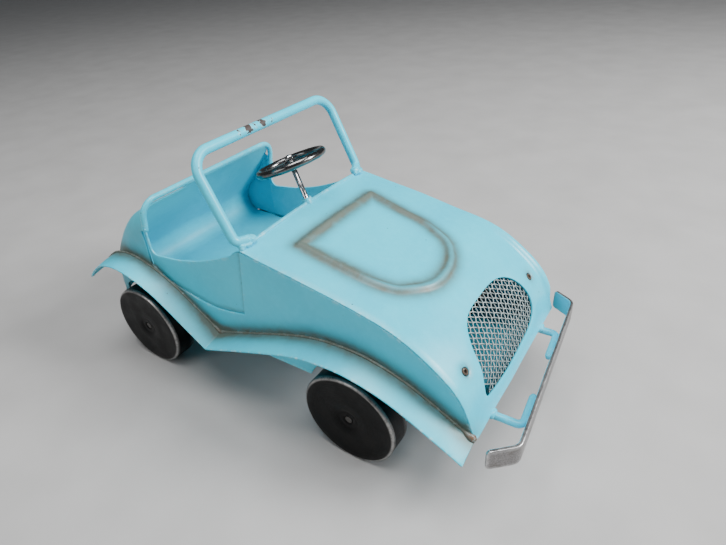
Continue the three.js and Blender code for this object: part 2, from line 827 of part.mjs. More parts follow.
function makeWasher(x, side) {
  const inner = WHEEL_OUT - WHEEL_WIDE - GAP;
  const [low, high] = [inner - 1.2, inner].map((y) => side * y).sort((a, b) => a - b);
  return cut(
    alongY(x, WHEEL_R, low, high, 4.2, 20),
    alongY(x, WHEEL_R, low - 1, high + 1, AXLE_R + RUNNING, 24),
  );
}

// An L-shaped hanger: an upright plate with the axle hole and a flange at its top.
function makeHanger(x, side, flangeOut, top) {
  const width = 16;
  const inner = 35.8;
  const thick = 1.4;
  const flangeEnd = flangeOut ? HALF_BODY - SHEET - GAP : inner - 7;
  const upright = [inner, inner + thick];
  const flange = flangeOut ? [inner, flangeEnd] : [flangeEnd, inner + thick];
  const span = (pair) => pair.map((y) => side * y).sort((a, b) => a - b);
  const [uLow, uHigh] = span(upright);
  const [fLow, fHigh] = span(flange);
  const outline = [
    v2(x - width / 2, top),
    v2(x - 4.5, WHEEL_R - 3),
    v2(x - 2, WHEEL_R - 5),
    v2(x + 2, WHEEL_R - 5),
    v2(x + 4.5, WHEEL_R - 3),
    v2(x + width / 2, top),
  ];
  return cut(
    join(
      plate(outline, uLow, uHigh),
      box([x - width / 2, fLow, top - thick], [x + width / 2, fHigh, top]),
    ),
    alongY(x, WHEEL_R, uLow - 2, uHigh + 2, AXLE_R + RUNNING),
  );
}

const AXLE_END = WHEEL_OUT - 1;
const makeRearAxle = () => alongY(-AXLE_X, WHEEL_R, -AXLE_END, AXLE_END, AXLE_R);

// Crank pins stand fore and aft of the axle, one for each pedal.
const PEDAL_IN = 9.4;
const PEDAL_OUT = 28.4;
const WEB = 2.4;

function makeCrankAxle() {
  const pieces = [alongY(AXLE_X, WHEEL_R, -PEDAL_IN - 1, PEDAL_IN + 1, AXLE_R)];
  for (const side of [-1, 1]) {
    const pinX = AXLE_X - side * CRANK_THROW;
    const [low, high] = [PEDAL_IN, PEDAL_OUT].map((y) => side * y).sort((a, b) => a - b);
    pieces.push(alongY(pinX, WHEEL_R, low, high, AXLE_R));
    const [near, far] = [PEDAL_OUT, AXLE_END].map((y) => side * y).sort((a, b) => a - b);
    pieces.push(alongY(AXLE_X, WHEEL_R, near, far, AXLE_R));
    for (const y of [PEDAL_IN, PEDAL_OUT]) {
      const [left, right] = [Math.min(AXLE_X, pinX), Math.max(AXLE_X, pinX)];
      const web = box(
        [left - 2.6, side * y - WEB / 2, WHEEL_R - 2.6],
        [right + 2.6, side * y + WEB / 2, WHEEL_R + 2.6],
      );
      pieces.push(web);
    }
  }
  return join(...pieces);
}

function makePedal(side) {
  const pinX = AXLE_X - side * CRANK_THROW;
  const clear = WEB / 2 + GAP;
  const [low, high] = [PEDAL_IN + clear, PEDAL_OUT - clear]
    .map((y) => side * y)
    .sort((a, b) => a - b);
  const outline = [
    v2(pinX - 6.5, WHEEL_R - 2),
    v2(pinX - 5.5, WHEEL_R - 3.2),
    v2(pinX + 5.5, WHEEL_R - 3.2),
    v2(pinX + 6.5, WHEEL_R - 2),
    v2(pinX + 6.5, WHEEL_R + 2),
    v2(pinX + 5.5, WHEEL_R + 3.2),
    v2(pinX - 5.5, WHEEL_R + 3.2),
    v2(pinX - 6.5, WHEEL_R + 2),
  ];
  return cut(
    plate(outline, low, high),
    alongY(pinX, WHEEL_R, low - 1, high + 1, AXLE_R + RUNNING),
  );
}

// ---- the car ----
const car = new THREE.Group();
function add(name, shape, material) {
  const mesh = new THREE.Mesh(geometryOf(shape), material);
  mesh.name = name;
  car.add(mesh);
}

add("hood", makeHood(), paint());
add("trunk_shell", makeTrunk(), paint());
add("seat_back", makeSeatBack(), innerPaint());
add("seat_pan", makeSeatPan(), innerPaint());
add("windscreen_frame", makeWindscreen(), paint());
add("rear_rim", makeRearRim(), paint());
add("grille_mesh", makeGrille(), bareSteel());
add("nose_plate", makeNosePlate(), innerPaint());
add("bumper_bar", makeBumper(), bareSteel());
add("steering_bush", makeBush(), paint());
add("column_strap", makeStrap(), innerPaint());
add("column_collar", makeCollar(), bareSteel());
add("steering_column", makeColumn(), chrome());
add("steering_wheel", makeSteeringWheel(), chrome());
add("steering_nut", makeColumnNut(), chrome());
add("front_crank_axle", makeCrankAxle(), bareSteel());
add("rear_axle", makeRearAxle(), bareSteel());

for (const [word, side] of [
  ["right", -1],
  ["left", 1],
]) {
  add(`flank_${word}`, makeFlank(side), paint());
  add(`cockpit_side_${word}`, makeSidePanel(side), paint());
  add(`fender_${word}`, makeFender(side), paint());
  add(`headlight_rivet_${word}`, makeStud(side), rusty());
  add(`bumper_bracket_${word}`, makeBumperBracket(side), paint());
  add(`front_hanger_${word}`, makeHanger(AXLE_X, side, true, FRONT_HANGER_TOP), innerPaint());
  add(`rear_hanger_${word}`, makeHanger(-AXLE_X, side, false, PAN_Z - GAP), innerPaint());
  add(`pedal_${word}`, makePedal(side), blackened());
  add(`front_wheel_${word}`, makeWheel(AXLE_X, side), blackened());
  add(`rear_wheel_${word}`, makeWheel(-AXLE_X, side), blackened());
  add(`front_washer_${word}`, makeWasher(AXLE_X, side), bareSteel());
  add(`rear_washer_${word}`, makeWasher(-AXLE_X, side), bareSteel());
}

// The origin goes to the middle of the overall length.
const pedalCar = new THREE.Group();
car.position.x = -(TAIL_X + BUMPER_X + BUMPER_THICK) / 2;
pedalCar.add(car);

export default pedalCar;
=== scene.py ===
"""The looks of a shelf-size pedal car in painted sheet steel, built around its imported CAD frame.

Lengths are millimetres from the middle of the wheelbase (x forward, y to the car's left, z up),
as in the CAD source, and to_frame() turns them into the frame's metres.
"""
import math

import bpy
import numpy as np
from mathutils import Matrix, Vector, noise
from mathutils.geometry import delaunay_2d_cdt


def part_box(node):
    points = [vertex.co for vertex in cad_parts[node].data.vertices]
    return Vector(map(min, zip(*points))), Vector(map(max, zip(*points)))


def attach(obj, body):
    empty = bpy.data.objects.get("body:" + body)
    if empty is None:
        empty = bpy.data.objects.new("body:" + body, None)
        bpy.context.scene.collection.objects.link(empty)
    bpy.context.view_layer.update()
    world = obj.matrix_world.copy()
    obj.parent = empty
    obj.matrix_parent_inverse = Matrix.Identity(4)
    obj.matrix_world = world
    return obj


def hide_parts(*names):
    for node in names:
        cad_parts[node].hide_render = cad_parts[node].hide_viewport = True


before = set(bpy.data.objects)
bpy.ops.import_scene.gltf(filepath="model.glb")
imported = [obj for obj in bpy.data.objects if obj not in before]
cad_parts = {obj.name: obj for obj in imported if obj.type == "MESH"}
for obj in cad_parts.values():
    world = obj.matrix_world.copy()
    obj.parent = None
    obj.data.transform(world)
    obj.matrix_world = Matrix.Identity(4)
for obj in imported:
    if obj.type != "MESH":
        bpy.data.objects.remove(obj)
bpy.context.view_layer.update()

MM = 0.001


def middle(node):
    low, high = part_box(node)
    return (low + high) / 2 / MM


def extent(node):
    low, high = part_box(node)
    return (high - low) / MM


# ---- driving dimensions ----
FRONT_X = middle("front_wheel_right").x
REAR_X = middle("rear_wheel_right").x
ORIGIN_X = (FRONT_X + REAR_X) / 2  # where the middle of the wheelbase lies in the frame
AXLE_X = (FRONT_X - REAR_X) / 2
WHEEL_R = extent("front_wheel_right").z / 2
WHEEL_WIDE = extent("front_wheel_right").y
WHEEL_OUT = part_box("front_wheel_left")[1].y / MM
HALF_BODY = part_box("hood")[1].y / MM
HALF_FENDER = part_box("fender_left")[1].y / MM
SHEET = 0.9
GAP = 0.3
ARCH_R = 25.2
SILL_Z = 32.9
TAIL_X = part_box("trunk_shell")[0].x / MM - ORIGIN_X
CREASE_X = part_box("trunk_shell")[1].x / MM - ORIGIN_X
TRUNK_TOP = 90
SEAT_TOP = (-48, 93.2)
SEAT_LIP = 1.2  # how far the seat's sheet goes up behind the wire
SEAT_FOOT = (-84.2, 47.1)
SEAT_HALF = 43.6
SEAT_ROUND = 8.3
SEAT_DIP = 1.9  # the sheet stops short of the wire over its near end
SEAT_DIP_Y = -20
PAN_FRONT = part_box("seat_pan")[1].x / MM - ORIGIN_X
PAN_HALF = 43.3
SEAT_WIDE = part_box("seat_pan")[1].y / MM  # between the trunk's sides
HOOD_CROWN = 2
HOOD_REAR = (13, 87.8)
TUBE_R = 2.15
HOOP_TOP = (-5.8, 124.7)
HOOP_BEND = 9.5
RIM_R = 1.3
RIM_BEND = 7.8
COLUMN_R = 1.3
COLUMN_LEAN = math.radians(21)
STEER = np.array([6, 0, 107.8])
STEER_R = 16.9
STEER_RIM = 1.75
BUMPER_X = 133.3
BUMPER_THICK = 1.5
BUMPER_Z = 31.2
BUMPER_TALL = 9.5
BUMPER_HALF = 43.5
BUMPER_LEFT = 46.5
BUMPER_SKEW = 0.0744
BUMPER_TILT = 0.012
SIDES = (("right", -1), ("left", 1))


# ---- curves and distances ----
def catmull(points, steps=12, closed=False):
    """A smooth curve through the points, with even steps between each two."""
    p = np.array(points, float)
    count = len(p)
    spans = count if closed else count - 1
    t = np.linspace(0, 1, steps, endpoint=False)[:, None]
    out = []
    for i in range(spans):
        pick = (lambda k: p[k % count]) if closed else (lambda k: p[min(max(k, 0), count - 1)])
        a, b, c, d = (pick(i + k) for k in (-1, 0, 1, 2))
        v0, v1 = (c - a) / 2, (d - b) / 2
        out.append(
            (2 * b - 2 * c + v0 + v1) * t**3 + (-3 * b + 3 * c - 2 * v0 - v1) * t**2 + v0 * t + b
        )
    curve = np.concatenate(out)
    return curve if closed else np.vstack([curve, p[-1]])


def arc(centre, radius, start, end, steps):
    """Points on a circle, with the angles in degrees."""
    a = np.radians(np.linspace(start, end, steps + 1))
    return np.stack([centre[0] + radius * np.cos(a), centre[1] + radius * np.sin(a)], 1)


def resample(line, step, closed=False):
    """The same line with its long segments divided, so that no step is longer than `step`."""
    line = np.array(line, float)
    ends = np.vstack([line, line[:1]]) if closed else line
    out = []
    for a, b in zip(ends[:-1], ends[1:]):
        n = max(1, math.ceil(np.linalg.norm(b - a) / step))
        out.append(a + (b - a) * np.arange(n)[:, None] / n)
    points = np.concatenate(out)
    return points if closed else np.vstack([points, ends[-1]])


def distance(points, line, closed=False):
    """How far each point lies from a line."""
    line = np.array(line, float)
    a = line if closed else line[:-1]
    b = np.roll(line, -1, 0) if closed else line[1:]
    best = np.full(len(points), 1e9)
    for p, q in zip(a, b):
        d = q - p
        t = np.clip(((points - p) @ d) / max(d @ d, 1e-12), 0, 1)
        best = np.minimum(best, np.linalg.norm(points - p - t[:, None] * d, axis=1))
    return best


def inside(points, loop):
    """Which points lie inside a closed outline."""
    loop = np.array(loop, float)
    x, y = points[:, 0], points[:, 1]
    odd = np.zeros(len(points), bool)
    for p, q in zip(loop, np.roll(loop, -1, 0)):
        if p[1] == q[1]:
            continue
        crosses = (p[1] > y) != (q[1] > y)
        odd ^= crosses & (x < (q[0] - p[0]) * (y - p[1]) / (q[1] - p[1]) + p[0])
    return odd


def run_along(line):
    """How far along the line each of its points is."""
    return np.concatenate([[0], np.cumsum(np.linalg.norm(np.diff(line, axis=0), axis=1))])


def directions(line):
    along = np.gradient(line, axis=0)
    return along / np.linalg.norm(along, axis=1)[:, None]


def follow(at, run, line):
    """Both coordinates of a flat line, or of its directions, at some runs along it."""
    return [np.interp(at, run, line[:, k]) for k in (0, 1)]


def halo(d, core, soft):
    """1 within `core` of a line, falling softly over `soft`."""
    return np.exp(-((np.maximum(d - core, 0) / soft) ** 2))


def smoothstep(x):
    x = np.clip(x, 0, 1)
    return x * x * (3 - 2 * x)


def ripple(points, size, seed):
    """Slow hand-beaten unevenness, from -1 to 1, with features about `size` across."""
    return np.array([noise.noise(Vector(p) / size + Vector((seed, 0, 0))) for p in points])


def to_frame(points):
    return (np.array(points, float) + [ORIGIN_X, 0, 0]) * MM


# ---- meshes ----
def put(name, data):
    """A new object in the scene."""
    thing = bpy.data.objects.new(name, data)
    bpy.context.scene.collection.objects.link(thing)
    return thing


def wear(patina_and_shade, edge, chip, rust=0.0):
    """The per-point values that a painted piece wears by, each one number or one a point."""
    return {"patina_and_shade": patina_and_shade, "edge": edge, "chip": chip, "rust": rust}


def add_piece(
    name, verts, faces, material, replaces=(), values=None, slot="turquoise_paint", body="chassis"
):
    """A mesh from points in millimetres, with its per-point values, riding on a body."""
    mesh = bpy.data.meshes.new(name)
    mesh.from_pydata(to_frame(verts).tolist(), [], [tuple(int(i) for i in f) for f in faces])
    mesh.validate()
    mesh.update()
    mesh.polygons.foreach_set("use_smooth", [True] * len(mesh.polygons))
    for key, numbers in (values or {}).items():
        attribute = mesh.attributes.new(key, "FLOAT", "POINT")
        attribute.data.foreach_set("value", np.broadcast_to(numbers, len(verts)).astype(np.float32))
    piece = put(name, mesh)
    for m in material if isinstance(material, list) else [material]:
        mesh.materials.append(m)
    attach(piece, body)
    if replaces:
        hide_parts(*replaces)
    return piece


def thicken(piece, thickness, edge=0.22, segments=2):
    """Gives a sheet its thickness, behind its faces, and rounds its cut edges.

    A second material, if there is one, goes on the back."""
    skin = piece.modifiers.new("thickness", "SOLIDIFY")
    skin.thickness = thickness * MM
    skin.offset = -1
    skin.material_offset = len(piece.data.materials) - 1
    soften(piece, edge, segments)


def soften(piece, edge, segments=2, angle=40):
    bevel = piece.modifiers.new("edges", "BEVEL")
    bevel.width = edge * MM
    bevel.segments = segments
    bevel.limit_method = "ANGLE"
    bevel.angle_limit = math.radians(angle)
    bevel.use_clamp_overlap = True
    normals = piece.modifiers.new("normals", "WEIGHTED_NORMAL")
    normals.keep_sharp = True
    return piece


SLIVER = 2e-3  # twice the area of a triangle that is left out, along a straight rim


def flat_fill(outline, holes=(), spacing=1.6, fine=None):
    """Triangles that fill a flat outline, with inner points at an even spacing.

    fine is (line, reach, spacing): a closed line round which the points are closer."""
    loops = [np.array(outline, float), *[np.array(h, float) for h in holes]]
    edges, start = [], 0
    for loop in loops:
        edges += [(start + i, start + (i + 1) % len(loop)) for i in range(len(loop))]
        start += len(loop)
    rim = np.concatenate(loops)
    low, high = rim.min(0), rim.max(0)

    def filled(points):
        keep = inside(points, loops[0])
        for hole in loops[1:]:
            keep &= ~inside(points, hole)
        return keep

    def grid(step):
        rows = np.arange(low[1] + step / 2, high[1], step * math.sqrt(3) / 2)
        cols = np.arange(low[0] + step / 2, high[0], step)
        x, y = np.meshgrid(cols, rows)
        x = x + (np.arange(len(rows)) % 2)[:, None] * step / 2
        points = np.stack([x.ravel(), y.ravel()], 1)
        points = points[filled(points)]
        for loop in loops:
            points = points[distance(points, loop, True) > 0.45 * step]
        return points

    inner = grid(spacing)
    if fine:
        line, reach, step = fine
        near = grid(step)
        near = near[distance(near, line, True) < reach]
        inner = np.vstack([inner[distance(inner, line, True) > reach + 0.3 * spacing], near])
    flat = [Vector(p) for p in np.vstack([rim, inner])]
    points, _, faces, *_ = delaunay_2d_cdt(flat, edges, [], 0, 1e-6)
    points = np.array([tuple(p) for p in points])
    faces = np.array(faces)
    faces = faces[filled(points[faces].mean(1))]
    a, b, c = (points[faces[:, k]] for k in range(3))
    area = (b[:, 0] - a[:, 0]) * (c[:, 1] - a[:, 1]) - (b[:, 1] - a[:, 1]) * (c[:, 0] - a[:, 0])
    faces[area < 0] = faces[area < 0][:, ::-1]
    return points, faces[np.abs(area) > SLIVER]


def grid_faces(rows, columns, wrap=False):
    """Quads over a grid of points stored row by row; wrap joins the last column to the first."""
    faces = []
    last = columns if wrap else columns - 1
    for i in range(rows - 1):
        this, following = i * columns, (i + 1) * columns
        for j in range(last):
            k = (j + 1) % columns
            faces.append((this + j, this + k, following + k, following + j))
    return faces


def tube(path, radius, sides=20, closed=False, wobble=0.0, seed=0.0, flatten=1.0):
    """Points and faces of a round bar through a list of points. radius may vary along it."""
    path = np.array(path, float)
    count = len(path)
    radii = np.broadcast_to(radius, count)
    if closed:
        tangent = np.roll(path, -1, 0) - np.roll(path, 1, 0)
    else:
        tangent = np.gradient(path, axis=0)
    tangent /= np.linalg.norm(tangent, axis=1)[:, None]
    side = np.cross([0, 0, 1], tangent[0])
    if np.linalg.norm(side) < 0.1:
        side = np.cross([1, 0, 0], tangent[0])
    rings = []
    angles = 2 * np.pi * np.arange(sides) / sides
    for i in range(count):
        side = side - tangent[i] * (side @ tangent[i])
        side /= np.linalg.norm(side)
        up = np.cross(tangent[i], side)
        ring = np.outer(np.cos(angles), side) + np.outer(np.sin(angles) * flatten, up)
        rings.append(path[i] + ring * radii[i])
    verts = np.concatenate(rings)
    if wobble:
        centre = np.repeat(path, sides, 0)
        verts += (verts - centre) / radii.max() * (wobble * ripple(verts, 4, seed))[:, None]
    faces = grid_faces(count, sides, True)
    if closed:
        last = (count - 1) * sides
        faces += [(last + k, last + (k + 1) % sides, (k + 1) % sides, k) for k in range(sides)]
    else:
        faces.append(tuple(range(sides))[::-1])
        faces.append(tuple(range((count - 1) * sides, count * sides)))
    return verts, faces


def bent_path(corners, bends, step=1.0, turn_steps=10):
    """A line with rounded corners through 3-D points."""
    corners = [np.array(c, float) for c in corners]
    path = [corners[0]]
    for before, here, after, bend in zip(corners, corners[1:], corners[2:], bends):
        a = (before - here) / np.linalg.norm(before - here)
        b = (after - here) / np.linalg.norm(after - here)
        half = math.acos(np.clip(a @ b, -1, 1)) / 2
        reach = bend / math.tan(half)
        centre = here + (a + b) / np.linalg.norm(a + b) * bend / math.sin(half)
        start, end = here + a * reach - centre, here + b * reach - centre
        sweep = math.pi - 2 * half
        for k in range(turn_steps + 1):
            t = k / turn_steps
            weight = [math.sin((1 - t) * sweep), math.sin(t * sweep)]
            path.append(centre + (weight[0] * start + weight[1] * end) / math.sin(sweep))
    path.append(corners[-1])
    return resample(path, step)


def lathe(profile, segments=96):
    """A closed profile of (radius, height) turned about the Z axis."""
    profile = np.array(profile, float)
    a = 2 * np.pi * np.arange(segments) / segments
    r, h = profile[:, 0], profile[:, 1]
    verts = np.stack(
        [np.outer(r, np.cos(a)), np.outer(r, np.sin(a)), np.outer(h, np.ones(segments))], 2
    )
    return verts.reshape(-1, 3), grid_faces(len(profile), segments, True)


def join_parts(parts):
    """Several (points, faces) as one."""
    verts, faces, start = [], [], 0
    for v, f in parts:
        verts.append(v)
        faces += [tuple(i + start for i in face) for face in f]
        start += len(v)
    return np.concatenate(verts), faces


# ---- materials ----
class Look:
    """One material's node tree, with short names for the nodes that the looks are made of."""

    def __init__(self, name):
        self.material = bpy.data.materials.new(name)
        self.material.use_nodes = True
        self.tree = self.material.node_tree
        self.shader = self.tree.nodes["Principled BSDF"]
        self.place = self.add("ShaderNodeTexCoord").outputs["Object"]

    def add(self, kind, **settings):
        node = self.tree.nodes.new(kind)
        for key, value in settings.items():
            setattr(node, key, value)
        return node

    def feed(self, socket, value):
        if isinstance(value, bpy.types.NodeSocket):
            self.tree.links.new(value, socket)
        elif isinstance(value, tuple) and socket.type == "RGBA":
            socket.default_value = (*value, 1)
        else:
            socket.default_value = value

    def noise(self, size, detail=3.0, rough=0.5, vector=None, warp=0.0):
        """Noise with features about `size` millimetres across."""
        node = self.add("ShaderNodeTexNoise")
        self.feed(node.inputs["Vector"], vector or self.place)
        node.inputs["Scale"].default_value = 1 / (size * MM)
        node.inputs["Detail"].default_value = detail
        node.inputs["Roughness"].default_value = rough
        node.inputs["Distortion"].default_value = warp
        return node.outputs["Fac"]

    def stretched(self, x, y, z):
        node = self.add("ShaderNodeVectorMath", operation="MULTIPLY")
        self.feed(node.inputs[0], self.place)
        node.inputs[1].default_value = (x, y, z)
        return node.outputs["Vector"]

    def value(self, name):
        return self.add("ShaderNodeAttribute", attribute_name=name).outputs["Fac"]

    def math(self, operation, a, b=0.0, clamp=False):
        node = self.add("ShaderNodeMath", operation=operation, use_clamp=clamp)
        self.feed(node.inputs[0], a)
        self.feed(node.inputs[1], b)
        return node.outputs[0]

    def times(self, a, b):
        return self.math("MULTIPLY", a, b)

    def span(self, value, low, high, to_low=0.0, to_high=1.0):
        """value from low..high to to_low..to_high, held at both ends."""
        node = self.add("ShaderNodeMapRange", clamp=True)
        self.feed(node.inputs["Value"], value)
        for key, number in (
            ("From Min", low),
            ("From Max", high),
            ("To Min", to_low),
            ("To Max", to_high),
        ):
            self.feed(node.inputs[key], number)
        return node.outputs["Result"]

    def mix(self, a, b, factor):
        node = self.add("ShaderNodeMix", data_type="RGBA")
        self.feed(node.inputs["Factor"], factor)
        self.feed(node.inputs[6], a)
        self.feed(node.inputs[7], b)
        return node.outputs[2]

    def bump(self, height, depth, strength=1.0, below=None):
        """A bump of `depth` millimetres."""
        node = self.add("ShaderNodeBump")
        node.inputs["Strength"].default_value = strength
        node.inputs["Distance"].default_value = depth * MM
        self.feed(node.inputs["Height"], height)
        if below:
            self.feed(node.inputs["Normal"], below)
        return node.outputs["Normal"]

    def set(self, **sockets):
        for key, value in sockets.items():
            self.feed(self.shader.inputs[key.replace("_", " ")], value)
        return self.material


BROWN = (0.110, 0.078, 0.030)
DARK_BROWN = (0.052, 0.032, 0.022)
BARE_METAL = (0.055, 0.040, 0.036)
PRIMER = (0.55, 0.80, 0.84)


def paint_look(name, pale, deep, gloss=0.34, aged=True):
    """Hand-sprayed paint: cloudy tone, brown patina and painted shade, chips to dark metal, worn
    pale edges.

    Paint that is not aged has no patina or painted shade of its own."""
    look = Look(name)
    cloud = look.noise(34, 2)
    mottle = look.noise(3.2, 4, 0.6)
    colour = look.mix(deep, pale, look.span(cloud, 0.3, 0.7))
    lift = tuple(min(1.0, 1.1 * c + 0.03) for c in pale)
    colour = look.mix(colour, lift, look.span(mottle, 0.45, 0.8, 0, 0.3))
    # Fine pits in the paint, and a few dark specks.
    cells = look.add("ShaderNodeTexVoronoi")
    look.feed(cells.inputs["Vector"], look.place)
    cells.inputs["Scale"].default_value = 1 / (3.4 * MM)
    shade = look.add("ShaderNodeSeparateColor")
    look.feed(shade.inputs[0], cells.outputs["Color"])
    rare = look.span(shade.outputs[0], 0.93, 0.95)
    spot = look.span(cells.outputs["Distance"], 0.10, 0.05)
    speck = look.times(rare, spot)
    colour = look.mix(colour, DARK_BROWN, look.times(speck, 0.85))
    # Patina, and painted shade where a piece puts shade into the same values.
    smoke = look.noise(6, 4, 0.6, warp=0.4)
    patina_and_shade = look.times(look.value("patina_and_shade"), look.span(smoke, 0.25, 0.7, 0.86, 1.1))
    patina_and_shade = look.math("MINIMUM", patina_and_shade, 0.9 if aged else 0.0)
    brown = look.mix(BROWN, DARK_BROWN, look.span(look.noise(2.2, 5, 0.7), 0.52, 0.8, 0, 0.4))
    colour = look.mix(colour, brown, patina_and_shade)
    # Worn edges show pale primer.
    rub = look.noise(2.6, 5, 0.65)
    worn = look.times(look.value("edge"), look.span(rub, 0.5, 0.62))
    colour = look.mix(colour, PRIMER, look.times(worn, 0.75))
    # Chips go through to dark metal, with a pale broken rim.
    crumble = look.noise(1.5, 4, 0.6)
    ragged = look.math("ADD", look.value("chip"), look.span(crumble, 0.3, 0.7, -0.3, 0.3))
    chip = look.span(ragged, 0.56, 0.60)
    rim = look.math("SUBTRACT", look.span(ragged, 0.47, 0.52), chip, clamp=True)
    colour = look.mix(colour, PRIMER, look.times(rim, 0.7))
    colour = look.mix(colour, BARE_METAL, chip)
    # Rust bleeds where it is called for.
    rust = look.times(look.value("rust"), look.span(look.noise(1.2, 5, 0.7), 0.35, 0.6))
    colour = look.mix(colour, (0.17, 0.065, 0.025), rust)
    rough = look.span(look.noise(9, 4), 0.3, 0.7, gloss - 0.05, gloss + 0.1)
    rough = look.math("ADD", rough, look.times(patina_and_shade, 0.16))
    rough = look.math("ADD", rough, look.times(chip, 0.25), clamp=True)
    peel = look.bump(look.noise(1.1, 2), 0.035, 0.6)
    pits = look.bump(look.math("MAXIMUM", chip, speck), 0.12, 0.8, peel)
    pits.node.invert = True
    look.set(Base_Color=colour, Roughness=rough, Normal=pits)
    return look.set(Coat_Weight=0.10, Coat_Roughness=0.3)


def wheel_look(name):
    """Blackened steel with turning marks, dusty smears and a bright rim, rubbed metal that is also
    a painted highlight.
    """
    look = Look(name)
    spin = look.add("ShaderNodeCombineXYZ")
    look.feed(spin.inputs[0], look.times(look.value("radius"), 3.2))
    look.feed(spin.inputs[1], look.times(look.value("turn"), 1.4))
    marks = look.add("ShaderNodeTexNoise")
    look.feed(marks.inputs["Vector"], spin.outputs[0])
    marks.inputs["Scale"].default_value = 1.0
    marks.inputs["Detail"].default_value = 5
    grooves = marks.outputs["Fac"]
    smear = look.noise(11, 4, 0.6)
    colour = look.mix((0.004, 0.004, 0.0045), (0.014, 0.014, 0.014), look.span(grooves, 0.35, 0.7))
    colour = look.mix(colour, (0.045, 0.044, 0.042), look.span(smear, 0.5, 0.75, 0, 0.5))
    # The rim's bright ring: rubbed metal, and also a painted highlight.
    scuff = look.noise(1.6, 6, 0.75)
    bright = look.times(look.value("edge"), look.span(scuff, 0.3, 0.55, 0.35, 1))
    colour = look.mix(colour, (0.42, 0.41, 0.40), bright)
    rough = look.span(smear, 0.35, 0.7, 0.38, 0.6)
    rough = look.math("SUBTRACT", rough, look.times(bright, 0.14))
    normal = look.bump(grooves, 0.06, 0.5)
    normal = look.bump(scuff, 0.05, 0.4, normal)
    look.set(Specular_IOR_Level=0.25)
    return look.set(Base_Color=colour, Roughness=rough, Normal=normal, Metallic=0.85)


def steel_look(name, base, bright, rough_low, rough_high, along="y", stain=0.5, metal=1.0):
    """Brushed or drawn steel, with brushing along one axis and brown stains."""
    look = Look(name)
    fine, slow = 2.2, 0.12
    scale = {"x": (slow, fine, fine), "y": (fine, slow, fine), "z": (fine, fine, slow)}[along]
    brushed = look.noise(0.9, 5, 0.6, look.stretched(*scale))
    cloud = look.noise(8, 4, 0.6)
    colour = look.mix(base, bright, look.span(brushed, 0.35, 0.65))
    colour = look.mix(colour, (0.10, 0.075, 0.055), look.span(cloud, 0.5, 0.8, 0, stain))
    worn = look.times(look.value("edge"), look.span(look.noise(1.4, 4), 0.3, 0.6, 0.4, 1))
    colour = look.mix(colour, (0.66, 0.66, 0.66), worn)
    rough = look.span(look.math("ADD", brushed, cloud), 0.7, 1.3, rough_low, rough_high)
    return look.set(
        Base_Color=colour,
        Roughness=rough,
        Normal=look.bump(brushed, 0.03, 0.5),
        Metallic=metal,
    )


def rust_look(name):
    look = Look(name)
    grain = look.noise(0.8, 6, 0.7)
    colour = look.mix((0.045, 0.036, 0.030), (0.125, 0.085, 0.055), look.span(grain, 0.4, 0.65))
    colour = look.mix(colour, (0.40, 0.36, 0.30), look.span(look.noise(1.7, 3), 0.6, 0.75, 0, 0.6))
    return look.set(
        Base_Color=colour,
        Roughness=look.span(grain, 0.3, 0.7, 0.6, 0.9),
        Normal=look.bump(grain, 0.2, 0.8),
        Metallic=0.2,
    )


def rubber_look(name):
    look = Look(name)
    dust = look.noise(5, 5, 0.6)
    colour = look.mix((0.016, 0.016, 0.017), (0.075, 0.07, 0.065), look.span(dust, 0.45, 0.8))
    return look.set(
        Base_Color=colour,
        Roughness=look.span(dust, 0.3, 0.7, 0.6, 0.85),
        Normal=look.bump(look.noise(0.6, 3), 0.04, 0.6),
    )


PAINT = paint_look("turquoise_paint", (0.028, 0.680, 0.880), (0.020, 0.600, 0.810))
# A deeper copy of the outside paint, as painted shade for the seat and for the parts inside and
# beneath.
INSIDE_SHADED = paint_look("inside_paint", (0.022, 0.600, 0.760), (0.016, 0.530, 0.700), 0.54)
# The nose plate's paint is a deep, dull teal as painted shade: it stands in for the dark hollow
# behind the grille.
UNDER_PAINTED_SHADE = paint_look("under_paint_painted_shade", (0.012, 0.190, 0.250), (0.008, 0.150, 0.205), 0.6, False)
# A deeper copy of the outside paint, as painted shade for the backs of the sheets.
BACK_SHADED = paint_look("back_paint_shaded", (0.034, 0.560, 0.700), (0.026, 0.490, 0.630), 0.5, False)
WHEEL = wheel_look("blackened_steel")
STEEL = steel_look("brushed_steel", (0.17, 0.165, 0.165), (0.32, 0.31, 0.31), 0.24, 0.42, "y", 0.7)
AXLE_STEEL = steel_look("axle_steel", (0.06, 0.058, 0.055), (0.15, 0.145, 0.14), 0.4, 0.6, "y", 0.8)
WIRE = steel_look("grille_wire", (0.24, 0.31, 0.31), (0.42, 0.49, 0.48), 0.4, 0.6, "z", 0.45, 0.5)
CHROME = steel_look("column_chrome", (0.46, 0.46, 0.47), (0.62, 0.62, 0.63), 0.1, 0.24, "z", 0.35)
DARK_CHROME = steel_look(
    "wheel_chrome", (0.05, 0.05, 0.052), (0.16, 0.155, 0.15), 0.14, 0.3, "x", 0.5
)
RUST = rust_look("rust")
RUBBER = rubber_look("pedal_rubber")


# ---- the hood ----
HOOD_LINE = catmull(
    [
        *[HOOD_REAR, (38.9, 83.5), (62.3, 79.1), (83.9, 73.5)],
        *[(101.2, 63.6), (112.5, 52.3), (118.9, 35.5)],
    ],
    60,
)
HOOD_RUN = run_along(HOOD_LINE)
HOOD_LENGTH = HOOD_RUN[-1]
HOOD_ALONG = directions(HOOD_LINE)


def hood_point(run, y, rise=0.0):
    """Points of the hood at a run from its rear edge, raised along its normal."""
    run, y = np.asarray(run, float), np.asarray(y, float)
    x, z = follow(run, HOOD_RUN, HOOD_LINE)
    ax, az = follow(run, HOOD_RUN, HOOD_ALONG)
    length = np.hypot(ax, az)
    crown = HOOD_CROWN * (1 - (y / HALF_BODY) ** 2) * np.minimum(1, 2.4 * (1 - run / HOOD_LENGTH))
    lift = rise + crown
    return np.stack([x - az / length * lift, y + 0 * x, z + ax / length * lift], -1)


